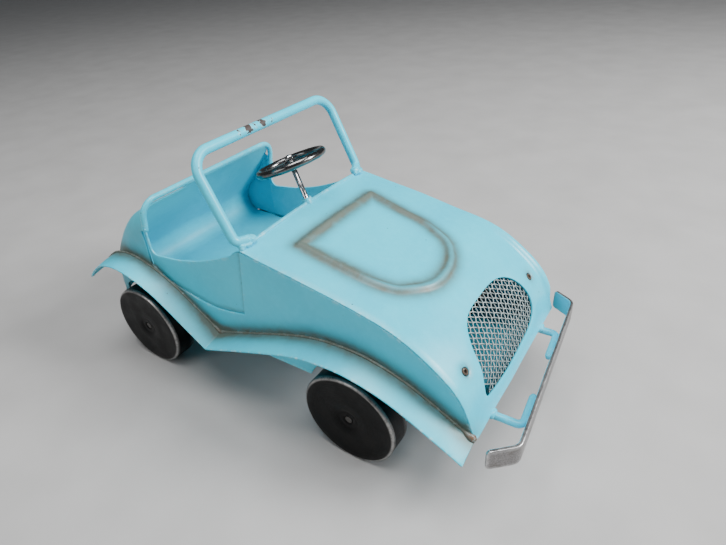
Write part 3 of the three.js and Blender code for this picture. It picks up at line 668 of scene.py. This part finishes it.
BEAD = catmull(
    [
        (17.5, -28.4), (31.4, -29), (44.7, -29.5), (54.6, -29), (62.7, -26.9), (67.3, -22.8),
        (71.7, -16.2), (73.4, -8.9), (72.7, 0.3), (69.9, 7.8), (65, 14.1), (58.5, 17.6),
        (49.4, 20.8), (35.6, 22.7), (18.1, 26),
    ],
    6,
)
BEAD_HEIGHT = 1.25
BEAD_WIDE = 3.0
GRILLE = catmull(
    [
        (0, 89.6), (14, 90.6), (22.5, 95.5), (26.3, 104), (25.6, 113), (20, 118.3), (8, 120.2),
        (-10, 120.8), (-24, 120), (-30.2, 117.6), (-27.6, 108.4), (-24, 98.4), (-15, 91),
    ],
    10,
    True,
)[:, ::-1]
GRILLE_SLIT = np.array([116.5, -28.5])  # the mesh leaves this corner open
HEADLIGHTS = [np.array([102.6, side * 35.2]) for _, side in SIDES]


def make_hood():
    outline = resample(
        [(0, -HALF_BODY), (HOOD_LENGTH, -HALF_BODY), (HOOD_LENGTH, HALF_BODY), (0, HALF_BODY)],
        1.2,
        True,
    )
    holes = [GRILLE, *[arc(c, 1.75, 0, 345, 23) for c in HEADLIGHTS]]
    flat, faces = flat_fill(outline, holes, 1.3, (BEAD, 4.2, 0.6))
    run, y = flat[:, 0], flat[:, 1]
    bead = distance(flat, BEAD, True)
    rise = BEAD_HEIGHT * smoothstep(1 - bead / BEAD_WIDE)
    rise += 0.22 * ripple(np.column_stack([flat, 0 * run]), 19, 3)
    # A heavier weld stands along the far front edge.
    far = smoothstep((y - 41.5) / 2.5)
    rise += 1.5 * far * smoothstep((run - 55) / 30) * smoothstep((122 - run) / 8)
    lamp = np.minimum(*[np.linalg.norm(flat - c, axis=1) for c in HEADLIGHTS])
    rise -= 0.75 * np.exp(-((lamp / 2.6) ** 2))
    mouth = distance(flat, GRILLE, True)
    rise -= 0.35 * np.exp(-((mouth / 1.4) ** 2))
    rise -= 0.5 * smoothstep(1 - (HALF_BODY - np.abs(y)) / 2.0) * smoothstep(run / 8) * (y < 0)
    verts = hood_point(run, y, rise)
    side_edge = HALF_BODY - np.abs(y)
    beside_bead = 0.92 - 0.36 * halo(bead, 0.3, 1.0) * smoothstep((run - 45) / 15)
    patina_and_shade = halo(bead, 1.0, 3.9) * beside_bead + 0.24 * halo(lamp, 1.4, 2.6)
    patina_and_shade += 0.32 * halo(np.hypot(HOOD_LENGTH - run, side_edge), 0.5, 6)
    edge = np.maximum(0.5 * halo(side_edge, 0.1, 0.6), halo(HOOD_LENGTH - run, 0, 0.8))
    values = wear(np.clip(patina_and_shade, 0, 1), edge, 0.13, 0.7 * halo(lamp, 1.4, 1.0))
    piece = add_piece("hood_skin", verts, faces, [PAINT, BACK_SHADED], ["hood"], values)
    thicken(piece, SHEET)
    # The rear edge is folded over a wire.
    y = np.linspace(-HALF_BODY + 0.6, HALF_BODY - 0.6, 90)
    path = hood_point(0.2 + 0 * y, y, -0.15)
    verts, faces = tube(path, 0.95, 14, wobble=0.06, seed=5)
    notch = np.abs(np.repeat(y, 14)) < 2.2
    fold = wear(0.12, 0.5, np.where(notch, 0.3, 0.15))
    add_piece("hood_rear_fold", verts, faces, PAINT, values=fold)


# ---- fenders ----
FENDER = np.vstack(
    [
        catmull(
            [
                (-95.2, 50.4), (-90, 55.6), (-81, 61.2), (-69, 63.2), (-56, 60.8), (-41.5, 54.6),
                (-26.8, 44.4), (-13, 34.6),
            ],
            14,
        )[:-1],
        catmull(
            [
                (-13, 34.6), (8.7, 42.6), (38.9, 53.2), (55, 56.2), (72, 56), (90, 51),
                (107.3, 42.2), (118.5, 35.8),
            ],
            16,
        ),
    ]
)
FENDER_LOW = np.array([-13, 34.6])
FENDER_DROP = 2.2
LEFT_FENDER_END = 113
WELD_SIDES = 10


def fender_line(side):
    return FENDER if side < 0 else FENDER[FENDER[:, 0] < LEFT_FENDER_END]


def make_fender(word, side):
    columns = 13
    across = np.linspace(0, 1, columns)
    inner = HALF_BODY + 0.1
    width = HALF_FENDER - inner
    verts, patina_and_shade, edge = [], [], []
    line = fender_line(side)
    for x, z in line:
        low = math.exp(-(((x - FENDER_LOW[0]) / 13) ** 2))
        tip = math.exp(-(((x - line[-1][0]) / 9) ** 2))
        for u in across:
            verts.append((x, side * (inner + width * u), z - FENDER_DROP * u**1.6))
            reach = 4.6 + 1.6 * low + 1.2 * tip
            patina_and_shade.append((0.80 + 0.2 * low) * float(halo(width * u, 1.0, reach)) + 0.03)
            edge.append(float(halo(width * (1 - u), 0.0, 0.5)))
    verts = np.array(verts)
    verts[:, 2] += 0.18 * ripple(verts, 15, 8 + side)
    faces = grid_faces(len(line), columns)
    if side > 0:
        faces = [f[::-1] for f in faces]
    values = wear(patina_and_shade, edge, 0.14)
    piece = add_piece(
        f"fender_sheet_{word}", verts, faces, [PAINT, BACK_SHADED], [f"fender_{word}"], values
    )
    thicken(piece, SHEET, 0.28)


def make_fender_weld(word, side):
    """The thin run of weld along the seam between fender and flank, with a blob at its front end
    and a swelling at the low corner.
    """
    line = resample(fender_line(side), 0.8)
    y = side * (HALF_BODY + 0.25)
    path = np.column_stack([line[:, 0], np.full(len(line), y), line[:, 1] + 0.15])
    nose = np.exp(-(((line[:, 0] - line[-1][0] + 1.5) / 2.2) ** 2))
    low = np.exp(-(((line[:, 0] - FENDER_LOW[0]) / 3) ** 2))
    lumps = 0.14 * np.array([noise.noise(Vector((x / 1.7, side, 0))) for x in line[:, 0]])
    radius = 0.62 + lumps + 1.1 * nose + 0.5 * low
    verts, faces = tube(path, radius, WELD_SIDES, wobble=0.1, seed=side)
    nose, low = np.repeat(nose, WELD_SIDES), np.repeat(low, WELD_SIDES)
    values = wear(0.95, 0.15, 0.2 + 0.3 * nose, 0.15 + 0.75 * nose + 0.3 * low)
    add_piece(f"fender_weld_{word}", verts, faces, PAINT, values=values)


# ---- flanks and cockpit sides ----
PLATE_WAVE = 0.12


def side_plate(name, outline, y, side, values, replaces):
    """A flat sheet in the car's length, with its outer face at y."""
    outline = resample(outline, 1.3, True)
    flat, faces = flat_fill(outline, (), 1.7)
    rim = distance(flat, outline, True)
    verts = np.column_stack([flat[:, 0], np.full(len(flat), side * y), flat[:, 1]])
    sink = PLATE_WAVE * (1 + ripple(verts, 17, side)) * smoothstep(rim / 10)
    verts[:, 1] -= side * sink
    if side > 0:
        faces = faces[:, ::-1]
    piece = add_piece(name, verts, faces, [PAINT, BACK_SHADED], replaces, values(flat, rim))
    thicken(piece, SHEET)


def flank_values(flat, rim):
    seam = distance(flat, FENDER)
    low = np.linalg.norm(flat - FENDER_LOW, axis=1)
    nose = np.linalg.norm(flat - FENDER[-1], axis=1)
    above = flat[:, 1] > np.interp(flat[:, 0], FENDER[:, 0], FENDER[:, 1])
    patina_and_shade = np.where(above, 0.85, 0.4) * halo(seam, 0.9, 4.0)
    patina_and_shade += 0.45 * halo(low, 1.5, 5) + 0.5 * halo(nose, 1, 7)
    return wear(np.clip(patina_and_shade, 0, 1), 0.4 * halo(rim, 0, 0.5), 0.12)


def make_flank(word, side):
    run = np.linspace(0.02, 0.985, 60) * HOOD_LENGTH
    under = np.stack(follow(run, HOOD_RUN, HOOD_LINE), 1)
    along = np.stack(follow(run, HOOD_RUN, HOOD_ALONG), 1)
    drop = SHEET + GAP
    under += np.stack([along[:, 1], -along[:, 0]], 1) * drop
    crease = CREASE_X + GAP
    sill = SILL_Z - WHEEL_R
    chord = math.degrees(math.asin(sill / ARCH_R))
    front_low = 29.8
    front_chord = math.degrees(math.asin((front_low - WHEEL_R) / ARCH_R))
    rear_chord = math.degrees(math.acos((crease + AXLE_X) / ARCH_R))
    front_arch = arc((AXLE_X, WHEEL_R), ARCH_R, front_chord, 180 - chord, 44)
    rear_arch = arc((-AXLE_X, WHEEL_R), ARCH_R, chord, rear_chord, 16)
    door = catmull([(crease, 61.8), (-41, 54.5), (-14, 49.5), (7, 52.5)], 12)
    outline = np.vstack(
        [
            door,
            (12.4, HOOD_REAR[1] - drop),
            under,
            (112, 31.6),
            (front_arch[0][0] + 8, 30.4),
            front_arch,
            rear_arch,
        ]
    )
    side_plate(f"flank_sheet_{word}", outline, HALF_BODY, side, flank_values, [f"flank_{word}"])


def make_cockpit_side(word, side):
    back = CREASE_X + GAP
    corner = bent_path([(-51.6, 82.8, 0), (-51.6, 67.2, 0), (-34, 69.2, 0)], [3.5], 1.0)[:, :2]
    dip = catmull([(-34, 69.2), (-17, 73.4), (2.2, 81), (7.4, 84.6), (11, 86.2)], 10)
    outline = np.vstack([(back, 48), (back, 82.8), corner[:-1], dip, (14.6, 86.2), (14.6, 48)])

    def values(flat, rim):
        # Painted shadow along the door's seam, where the flank's edge shades the recessed door
        # panel; the foot term darkens a spot at the door's rear-lower corner.
        seam = distance(flat, [(-53, 61), (-41, 54.5), (-14, 49.5), (7, 52.5), (12, 86)])
        foot = np.linalg.norm(flat - [-52, 61], axis=1)
        patina_and_shade = 0.5 * halo(seam, 0.3, 1.2) + 0.3 * halo(foot, 1, 5)
        return wear(patina_and_shade, 0.4 * halo(rim, 0, 0.6), 0.13)

    y = HALF_BODY - SHEET - 0.05
    side_plate(f"cockpit_sheet_{word}", outline[::-1], y, side, values, [f"cockpit_side_{word}"])


# ---- trunk ----
def make_trunk():
    """A domed skin from the seat's top to the tail, rounded into two side plates."""
    profile = catmull(
        [
            (CREASE_X, TRUNK_TOP),
            (-67.5, 83.2),
            (-80.4, 71.8),
            (-92.1, 56.6),
            (TAIL_X, 42),
            (TAIL_X, 31.2),
        ],
        14,
    )
    along = directions(profile)
    inward = np.stack([-along[:, 1], along[:, 0]], 1)
    run = np.linspace(0, 1, len(profile))
    corner = 9 + 6 * smoothstep(run / 0.8)
    flats, turns = 26, 12
    rows = []
    for p, n, r in zip(profile, inward, corner):
        row = []
        for k in range(turns):
            a = math.pi / 2 * k / turns
            row.append((p + n * r * (1 - math.sin(a)), -(HALF_BODY - r) - r * math.cos(a)))
        flat = [(p, y) for y in np.linspace(-(HALF_BODY - r), HALF_BODY - r, flats)]
        row += flat + [(q, -y) for q, y in row[::-1]]
        rows.append([(q[0], y, q[1]) for q, y in row])
    columns = len(rows[0])
    skin = (np.array(rows).reshape(-1, 3), grid_faces(len(rows), columns))
    parts = [skin]
    tangent = profile + inward * corner[:, None]
    keep = tangent[:, 1] > 31.2
    tangent = tangent[keep]
    rear_chord = math.degrees(math.acos((CREASE_X + AXLE_X) / ARCH_R))
    low = math.degrees(math.asin((31.2 - WHEEL_R) / ARCH_R))
    arch = arc((-AXLE_X, WHEEL_R), ARCH_R, rear_chord, 180 - low, 40)
    front = resample([(CREASE_X, arch[0][1]), (CREASE_X, tangent[0][1])], 1.5)
    outline = np.vstack([tangent[::-1], front[::-1][1:-1], arch])
    flat, faces = flat_fill(outline, (), 1.9)
    for side in (-1, 1):
        verts = np.column_stack([flat[:, 0], np.full(len(flat), side * HALF_BODY), flat[:, 1]])
        parts.append((verts, faces[:, ::-1] if side > 0 else faces))
    verts, faces = join_parts(parts)
    side_view = verts[:, [0, 2]]
    seam = distance(side_view, FENDER)
    floor = halo(np.maximum(verts[:, 2] - 33, 0), 0, 9)
    near_side = smoothstep((np.abs(verts[:, 1]) - HALF_BODY + 14) / 14)
    # Painted shade: the crease term is 1 all over the trunk, as no point lies ahead of the crease,
    # so it darkens the sides and their rounded corners evenly; the seam term is patina along the
    # fender line.
    patina_and_shade = near_side * (0.62 * halo(seam, 1.0, 4.2) + 0.30 * halo(verts[:, 0] - CREASE_X, 0, 2.5))
    patina_and_shade += 0.28 * floor
    values = wear(np.clip(patina_and_shade, 0, 1), 0.0, 0.13)
    piece = add_piece("trunk_skin", verts, faces, [PAINT, BACK_SHADED], ["trunk_shell"], values)
    merge = piece.modifiers.new("merge", "WELD")
    merge.merge_threshold = 0.02 * MM
    thicken(piece, SHEET, 0.25)


# ---- seat ----
def make_seat():
    """Seat back and pan are one sheet with a soft bend between them."""
    top, foot = np.array(SEAT_TOP), np.array(SEAT_FOOT)
    top = top + (top - foot) / np.linalg.norm(top - foot) * SEAT_LIP
    profile = bent_path([(*top, 0), (*foot, 0), (PAN_FRONT, foot[1], 0)], [9], 0.8, 14)[:, :2]
    run = run_along(profile)
    total, half, round_r, dip = run[-1], SEAT_HALF, SEAT_ROUND, SEAT_DIP
    step = total - (PAN_FRONT - CREASE_X)
    outline = np.vstack(
        [
            [(0, half - round_r), (0, SEAT_DIP_Y + 3), (dip, SEAT_DIP_Y)],
            arc((round_r + dip, -half + round_r), round_r, 180, 270, 10),
            (26, -SEAT_WIDE),
            (step - 1, -SEAT_WIDE),
            (step, -PAN_HALF),
            (total, -PAN_HALF),
            (total, PAN_HALF),
            (step, PAN_HALF),
            (step - 1, SEAT_WIDE),
            (26, SEAT_WIDE),
            arc((round_r, half - round_r), round_r, 90, 180, 10),
        ]
    )
    outline = resample(outline, 1.5, True)
    flat, faces = flat_fill(outline, (), 2.0)
    x, z = follow(flat[:, 0], run, profile)
    sx, sz = follow(flat[:, 0], run, directions(profile))
    rim = distance(flat, outline, True)
    wave = 0.45 * ripple(np.column_stack([flat, 0 * x]), 26, 12) * smoothstep(rim / 4)
    verts = np.column_stack([x - sz * wave, flat[:, 1], z + sx * wave])
    crease = np.abs(flat[:, 0] - np.linalg.norm(top - foot))
    # Slightly darker along the sheet's edges and, more faintly, along its bend.
    values = wear(0.10 * halo(rim, 0, 2.5) + 0.05 * halo(crease, 0, 4), 0.0, 0.13)
    nodes = ["seat_back", "seat_pan"]
    piece = add_piece("seat_sheet", verts, faces, INSIDE_SHADED, nodes, values, "inside_paint")
    thicken(piece, SHEET)


# ---- hoop and rear rim ----
def make_hoop():
    x, z = HOOD_REAR[0] - 2.6, HOOD_REAR[1] + TUBE_R + 0.2
    half = HALF_BODY - 1
    on_hood = HOOD_REAR[0] + 0.2
    corners = [
        (on_hood, -half + 5.5, z),
        (x, -half, z),
        (HOOP_TOP[0], -half, HOOP_TOP[1]),
        (HOOP_TOP[0], half, HOOP_TOP[1]),
        (x, half, z),
        (on_hood, half - 5.5, z),
    ]
    path = bent_path(corners, [3, HOOP_BEND, HOOP_BEND, 3], 0.8, 14)
    sides = 24
    verts, faces = tube(path, TUBE_R, sides, wobble=0.05, seed=2)
    top = smoothstep((verts[:, 2] - HOOP_TOP[1] + 1.5) / 1.5)
    chips = [(-12, 2.6, 0.95), (-3.2, 2.2, 0.85), (-17.5, 1.5, 0.55)]
    chips += [(2.4, 1.2, 0.6), (-8, 0.9, 0.55)]
    chip = np.full(len(verts), 0.1)
    for y, reach, depth in chips:
        chip = np.maximum(chip, depth * top * np.exp(-(((verts[:, 1] - y) / reach) ** 2)))
    values = wear(0.02, 0.0, chip)
    add_piece("windscreen_hoop", verts, faces, PAINT, ["windscreen_frame"], values)
    for word, side in SIDES:
        blobs = []
        for k, (dx, dy, dz, r) in enumerate(
            ((0.1, -5.9, -0.2, 2.3), (0.2, -3.6, -1.3, 2.1), (-0.6, -1.2, -1.6, 2.0))
        ):
            blobs.append(lump((on_hood + dx, side * (half + dy), z + dz), r, 6 + k + side, 20, 32))
        verts, faces = join_parts(blobs)
        add_piece(f"hoop_weld_{word}", verts, faces, PAINT, values=wear(0.06, 0.15, 0.15))


def lump(centre, radius, seed, rows=12, columns=18, stretch=(1, 1, 0.8)):
    """A small uneven blob of weld."""
    points = []
    for i in range(rows + 1):
        a = math.pi * i / rows
        for j in range(columns):
            b = 2 * math.pi * j / columns
            d = Vector((math.sin(a) * math.cos(b), math.sin(a) * math.sin(b), math.cos(a)))
            r = radius * (1 + 0.22 * noise.noise(d * 1.6 + Vector((seed * 3.1, 0, 0))))
            points.append([centre[k] + d[k] * r * stretch[k] for k in range(3)])
    return np.array(points), [f[::-1] for f in grid_faces(rows + 1, columns, True)]


def make_rear_rim():
    half = HALF_BODY - 1.2
    top = SEAT_TOP[1] + RIM_R + 0.9
    x = SEAT_TOP[0] - 0.2
    foot = 80.5
    corners = [
        (CREASE_X + 2.2, -half, foot),
        (x, -half, top),
        (x, half, top),
        (CREASE_X + 2.2, half, foot),
    ]
    path = bent_path(corners, [RIM_BEND, RIM_BEND], 0.8, 14)
    verts, faces = tube(path, RIM_R + 0.15, 18, wobble=0.09, seed=4)
    add_piece("seat_rim_wire", verts, faces, PAINT, ["rear_rim"], wear(0.03, 0.25, 0.16))


# ---- grille ----
def make_grille():
    """Woven wire on the diagonal, bent to the nose behind the opening."""
    pitch, wire, depth = 2.25, 0.24, SHEET + 0.75
    centre = GRILLE.mean(0)
    out = GRILLE - centre
    border = centre + out * (1 + 1.5 / np.linalg.norm(out, axis=1))[:, None]
    parts = []
    for family, degrees in enumerate((38, 128)):
        a = math.radians(degrees)
        along = np.array([math.sin(a), math.cos(a)])  # in (run, y)
        across = np.array([-along[1], along[0]])
        for k in range(-22, 23):
            t = np.arange(-44, 44, pitch / 4)
            line = centre + across * k * pitch + along * t[:, None]
            to_slit = np.linalg.norm((line - GRILLE_SLIT) * [1, 1.6], axis=1)
            ok = inside(line, border) & (to_slit > 4.5)
            if ok.sum() < 4:
                continue
            line, t = line[ok], t[ok]
            phase = math.pi * (k + family)
            weave = 0.24 * np.cos(math.pi * t / pitch + phase)
            slack = 0.10 * np.array([noise.noise(Vector((p[0] / 5, p[1] / 5, k))) for p in line])
            path = hood_point(line[:, 0], line[:, 1] + slack, weave - depth)
            parts.append(tube(path, wire, 6))
    verts, faces = join_parts(parts)
    values = {"edge": 0.12, "patina_and_shade": 0.0}
    add_piece("grille_weave", verts, faces, WIRE, ["grille_mesh"], values, "grille_wire")


# ---- headlight rivets ----
def hood_normal(run):
    ax, az = follow(run, HOOD_RUN, HOOD_ALONG)
    return np.array([-az, 0, ax]) / math.hypot(ax, az)


def turn_to(verts, axis, centre):
    """Turns points from the Z axis to another axis and moves them."""
    turn = np.array(Vector((0, 0, 1)).rotation_difference(Vector(axis)).to_matrix())
    return verts @ turn.T + np.array(centre, float)


def make_rivets():
    profile = [
        *[(0.7, -2.2), (1.4, -2.2), (1.5, -0.9), (1.5, -0.2)],
        *[(1.35, 0.2), (0.95, 0.3), (0.7, 0.1), (0.7, -2.2)],
    ]
    for (word, side), centre in zip(SIDES, HEADLIGHTS):
        verts, faces = lathe(profile, 28)
        verts = verts * (1 + 0.16 * ripple(verts, 1.6, 7 + side))[:, None]
        verts = turn_to(verts, hood_normal(centre[0]), hood_point(centre[0], centre[1], -0.5))
        node = f"headlight_rivet_{word}"
        add_piece(f"lamp_rivet_{word}", verts, faces, RUST, [node], slot="rust")


# ---- bumper ----
def bumper_back(y):
    """The bumper falls back towards the left."""
    return BUMPER_X - BUMPER_SKEW * (y + BUMPER_HALF)


def bumper_lift(y):
    return BUMPER_TILT * (y + BUMPER_HALF)


def make_bumper():
    front = BUMPER_X + BUMPER_THICK
    front_left = bumper_back(BUMPER_LEFT) + BUMPER_THICK
    corners = [
        (front - 9.4, -WHEEL_OUT + 0.4, 0),
        (front, -BUMPER_HALF - 0.6, 0),
        (front_left, BUMPER_LEFT + 0.6, 0),
        (front_left - 9.8, WHEEL_OUT - 0.4, 0),
    ]
    path = bent_path(corners, [5, 5], 0.8, 12)[:, :2]
    run = run_along(path)
    total, tall, r = run[-1], BUMPER_TALL, 1.6
    outline = np.vstack(
        [
            arc((r, r), r, 180, 270, 5),
            arc((total - r, r), r, 270, 360, 5),
            arc((total - r, tall - r), r, 0, 90, 5),
            arc((r, tall - r), r, 90, 180, 5),
        ]
    )
    outline = resample(outline, 1.2, True)
    flat, faces = flat_fill(outline, (), 1.2)
    rim = distance(flat, outline, True)
    x, y = follow(flat[:, 0], run, path)
    verts = np.column_stack([x, y, BUMPER_Z + flat[:, 1] + bumper_lift(y)])
    verts[:, 2] += 0.15 * ripple(verts, 20, 9)
    values = wear(0.0, halo(rim, 0.1, 0.5), 0.12)
    nodes = ["bumper_bar"]
    piece = add_piece("bumper_strip", verts, faces, [STEEL, PAINT], nodes, values, "bare_steel")
    thicken(piece, BUMPER_THICK, 0.4, 3)


def make_brackets():
    z = BUMPER_Z + 2.2
    for word, side in SIDES:
        y = 29.3
        corners = [
            (104, side * y, z),
            (bumper_back(side * y) - 1.75, side * (y - 0.4), z + bumper_lift(side * y)),
            (bumper_back(side * 12) - 1.75, side * 12, z + bumper_lift(side * 12)),
        ]
        path = bent_path(corners, [2.6], 0.7, 10)
        ends = np.minimum(np.arange(len(path)), np.arange(len(path))[::-1])
        radius = 1.62 - 0.5 * np.exp(-((ends / 1.2) ** 2))
        verts, faces = tube(path, radius, 18, wobble=0.06, seed=side)
        near_body = halo(np.abs(verts[:, 0] - 119), 0, 2.5)
        values = wear(0.05 + 0.2 * near_body, 0.2, 0.16)
        add_piece(f"bracket_rod_{word}", verts, faces, PAINT, [f"bumper_bracket_{word}"], values)
        blob = lump((118.6, side * y, z + 1.2), 2.3, 4 + side, stretch=(0.7, 1.2, 0.8))
        add_piece(f"bracket_weld_{word}", *blob, PAINT, values=wear(0.08, 0.1, 0.14))


# ---- steering ----
COLUMN_AXIS = np.array([-math.sin(COLUMN_LEAN), 0, math.cos(COLUMN_LEAN)])


def on_column(verts):
    """Points drawn about the Z axis, set on the steering column's axis."""
    return turn_to(verts, COLUMN_AXIS, STEER)


def add_steering(name, mesh, material, slot, node, edge):
    verts, faces = mesh
    values = {"edge": edge}
    return add_piece(name, on_column(verts), faces, material, [node], values, slot, "steering")


def make_steering():
    low, high = -44, 2.6
    rod = [(0.01, low), (1.0, low), (COLUMN_R, low + 0.4), (COLUMN_R, high), (0.01, high)]
    add_steering("column_rod", lathe(rod, 32), CHROME, "chrome", "steering_column", 0.0)
    major = STEER_R - STEER_RIM
    a = np.linspace(0, 2 * np.pi, 160, endpoint=False)
    path = np.column_stack([major * np.cos(a), major * np.sin(a), 0 * a])
    parts = [tube(path, STEER_RIM, 20, closed=True, wobble=0.12, seed=3)]
    for k in range(4):
        turn = math.pi / 2 * k + math.pi / 4
        reach = np.linspace(2.6, major, 14)
        dip = -0.9 * np.sin(np.pi * (reach - 2.6) / (major - 2.6))
        spoke = np.column_stack([reach * math.cos(turn), reach * math.sin(turn), dip])
        wide = 1.35 - 0.35 * (reach - 2.6) / (major - 2.6)
        parts.append(tube(spoke, wide, 12, flatten=0.55))
    hub = [
        *[(1.45, -2.6), (2.9, -2.6), (3.4, -2.0), (3.4, 0.2)],
        *[(2.9, 0.9), (1.9, 1.2), (1.45, 1.2), (1.45, -2.6)],
    ]
    parts.append(lathe(hub, 32))
    wheel = join_parts(parts)
    add_steering("steering_ring", wheel, DARK_CHROME, "dark_chrome", "steering_wheel", 0.12)
    dome = [
        *[(0.01, 1.5), (1.4, 1.5), (1.4, 1.6), (2.1, 1.6)],
        *[(2.0, 2.5), (1.6, 3.1), (0.9, 3.5), (0.01, 3.6)],
    ]
    nut = lathe(dome, 6)
    soften(add_steering("steering_cap_nut", nut, CHROME, "chrome", "steering_nut", 0.3), 0.2)
    bush = [
        *[(1.55, -23.4), (2.2, -23.4), (2.45, -23.0), (2.45, -18.1)],
        *[(2.1, -17.6), (1.55, -17.6), (1.55, -23.4)],
    ]
    verts, faces = lathe(bush, 28)
    verts = on_column(verts * (1 + 0.05 * ripple(verts, 2, 1))[:, None])
    add_piece("column_bush", verts, faces, PAINT, ["steering_bush"], wear(0.12, 0.3, 0.2))


# ---- wheels ----
def make_wheel(node, x, side):
    edge_r = WHEEL_R
    inner = WHEEL_OUT - WHEEL_WIDE
    face = WHEEL_WIDE
    profile = np.vstack(
        [
            [(1.95, 0), (8, 0), (14, 0.15), (edge_r - 1.4, 0.1)],
            arc((edge_r - 0.9, 1.0), 0.9, -90, 0, 5),
            [(edge_r, 3.5), (edge_r, 7), (edge_r, face - 1.9)],
            arc((edge_r - 1.5, face - 1.5), 1.5, 0, 90, 8),
            [(19, face - 0.15), (15, face - 0.35), (10, face - 0.4), (6.2, face - 0.3)],
            [(5.2, face - 0.75), (4.0, face - 0.95), (2.9, face - 0.8), (2.2, face - 1.1)],
            [(1.95, face - 1.4), (1.95, 0)],
        ]
    )
    segments = 120
    verts, faces = lathe(profile, segments)
    radius = np.repeat(profile[:, 0], segments)
    height = np.repeat(profile[:, 1], segments)
    angle = np.tile(2 * np.pi * np.arange(segments) / segments, len(profile))
    uneven = 0.10 * ripple(verts, 9, x + 3 * side)
    verts[:, 2] += np.where(radius < edge_r - 2, uneven, 0)
    # The bright ring along the rim's edge is rubbed metal and also a painted highlight, the same
    # all round.
    worn = halo(np.abs(radius - edge_r + 0.55), 0.15, 0.4) * (height > face - 1.6)
    worn = np.maximum(worn, 0.4 * halo(np.abs(radius - edge_r + 0.4), 0.2, 0.5) * (height < 1.2))
    turn = 12 * np.abs(angle / np.pi - 1)
    values = {"radius": radius + height, "turn": turn, "edge": worn}
    # Lathe height points out of the car on either side.
    placed = np.column_stack([x + verts[:, 0], side * (inner + verts[:, 2]), WHEEL_R + verts[:, 1]])
    if side > 0:
        faces = [f[::-1] for f in faces]
    body = "front_axle_set" if x > 0 else f"{node}_body"
    add_piece(f"{node}_disc", placed, faces, WHEEL, [node], values, "blackened_steel", body)


# ---- carried-over frame nodes ----
CARRIED = {
    "nose_plate": UNDER_PAINTED_SHADE,
    "column_strap": INSIDE_SHADED,
    "column_collar": AXLE_STEEL,
    "front_crank_axle": AXLE_STEEL,
    "rear_axle": AXLE_STEEL,
}
for word, _ in SIDES:
    CARRIED.update(
        {
            f"front_hanger_{word}": INSIDE_SHADED,
            f"rear_hanger_{word}": INSIDE_SHADED,
            f"front_washer_{word}": AXLE_STEEL,
            f"rear_washer_{word}": AXLE_STEEL,
            f"pedal_{word}": RUBBER,
        }
    )


def dress_carried():
    for node, material in CARRIED.items():
        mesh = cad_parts[node].data
        mesh.materials.clear()
        mesh.materials.append(material)


# ---- stage ----
def make_stage():
    look = Look("floor")
    grain = look.noise(40, 4)
    colour = look.mix((0.43, 0.425, 0.42), (0.48, 0.475, 0.47), look.span(grain, 0.3, 0.7))
    floor_look = look.set(Base_Color=colour, Roughness=0.6)
    mesh = bpy.data.meshes.new("floor")
    half = 4.0
    corners = [(-half, -half, 0), (half, -half, 0), (half, half, 0), (-half, half, 0)]
    mesh.from_pydata(corners, [], [(0, 1, 2, 3)])
    floor = put("floor", mesh)
    mesh.materials.append(floor_look)
    world = bpy.data.worlds.new("studio")
    world.use_nodes = True
    sky = world.node_tree.nodes["Background"]
    sky.inputs["Color"].default_value = (0.85, 0.90, 0.95, 1)
    sky.inputs["Strength"].default_value = 0.12
    bpy.context.scene.world = world
    lamps = (
        ("key", (0.90, 0.35, 0.70), 0.42, 19.5),
        ("top", (0.05, -0.10, 1.1), 0.7, 11.0),
        ("side", (-0.30, -0.95, 0.60), 0.6, 2.6),
    )
    for name, place, size, power in lamps:
        data = bpy.data.lights.new(name, "AREA")
        data.shape = "DISK"
        data.size = size
        data.energy = power
        lamp = put(name, data)
        lamp.location = place
        aim = Vector((0, 0, 0.05)) - Vector(place)
        lamp.rotation_euler = aim.to_track_quat("-Z", "Y").to_euler()


# ---- camera ----
CAMERA_AZIMUTH = math.radians(35.34)
CAMERA_ELEVATION = math.radians(33.39)
CAMERA_ROLL = math.radians(-4.27)
CAMERA_PLACE = (162.8, -171.3, 197.4)
CAMERA_LENS = 26.53


def make_camera():
    a, e = CAMERA_AZIMUTH, CAMERA_ELEVATION
    back = Vector((math.sin(a) * math.cos(e), -math.cos(a) * math.cos(e), math.sin(e)))
    right = Vector((math.cos(a), math.sin(a), 0))
    up = back.cross(right)
    c, s = math.cos(CAMERA_ROLL), math.sin(CAMERA_ROLL)
    turned = Matrix((c * right + s * up, -s * right + c * up, back)).transposed().to_4x4()
    data = bpy.data.cameras.new("camera")
    data.lens = CAMERA_LENS
    data.sensor_width = 36
    data.clip_start = 0.01
    camera = put("camera", data)
    camera.matrix_world = Matrix.Translation(Vector(to_frame(CAMERA_PLACE))) @ turned
    bpy.context.scene.camera = camera


make_camera()
make_stage()
make_hood()
make_trunk()
make_seat()
make_hoop()
make_rear_rim()
make_grille()
make_rivets()
make_bumper()
make_brackets()
make_steering()
for word, side in SIDES:
    make_fender(word, side)
    make_fender_weld(word, side)
    make_flank(word, side)
    make_cockpit_side(word, side)
    make_wheel(f"front_wheel_{word}", AXLE_X, side)
    make_wheel(f"rear_wheel_{word}", -AXLE_X, side)
dress_carried()
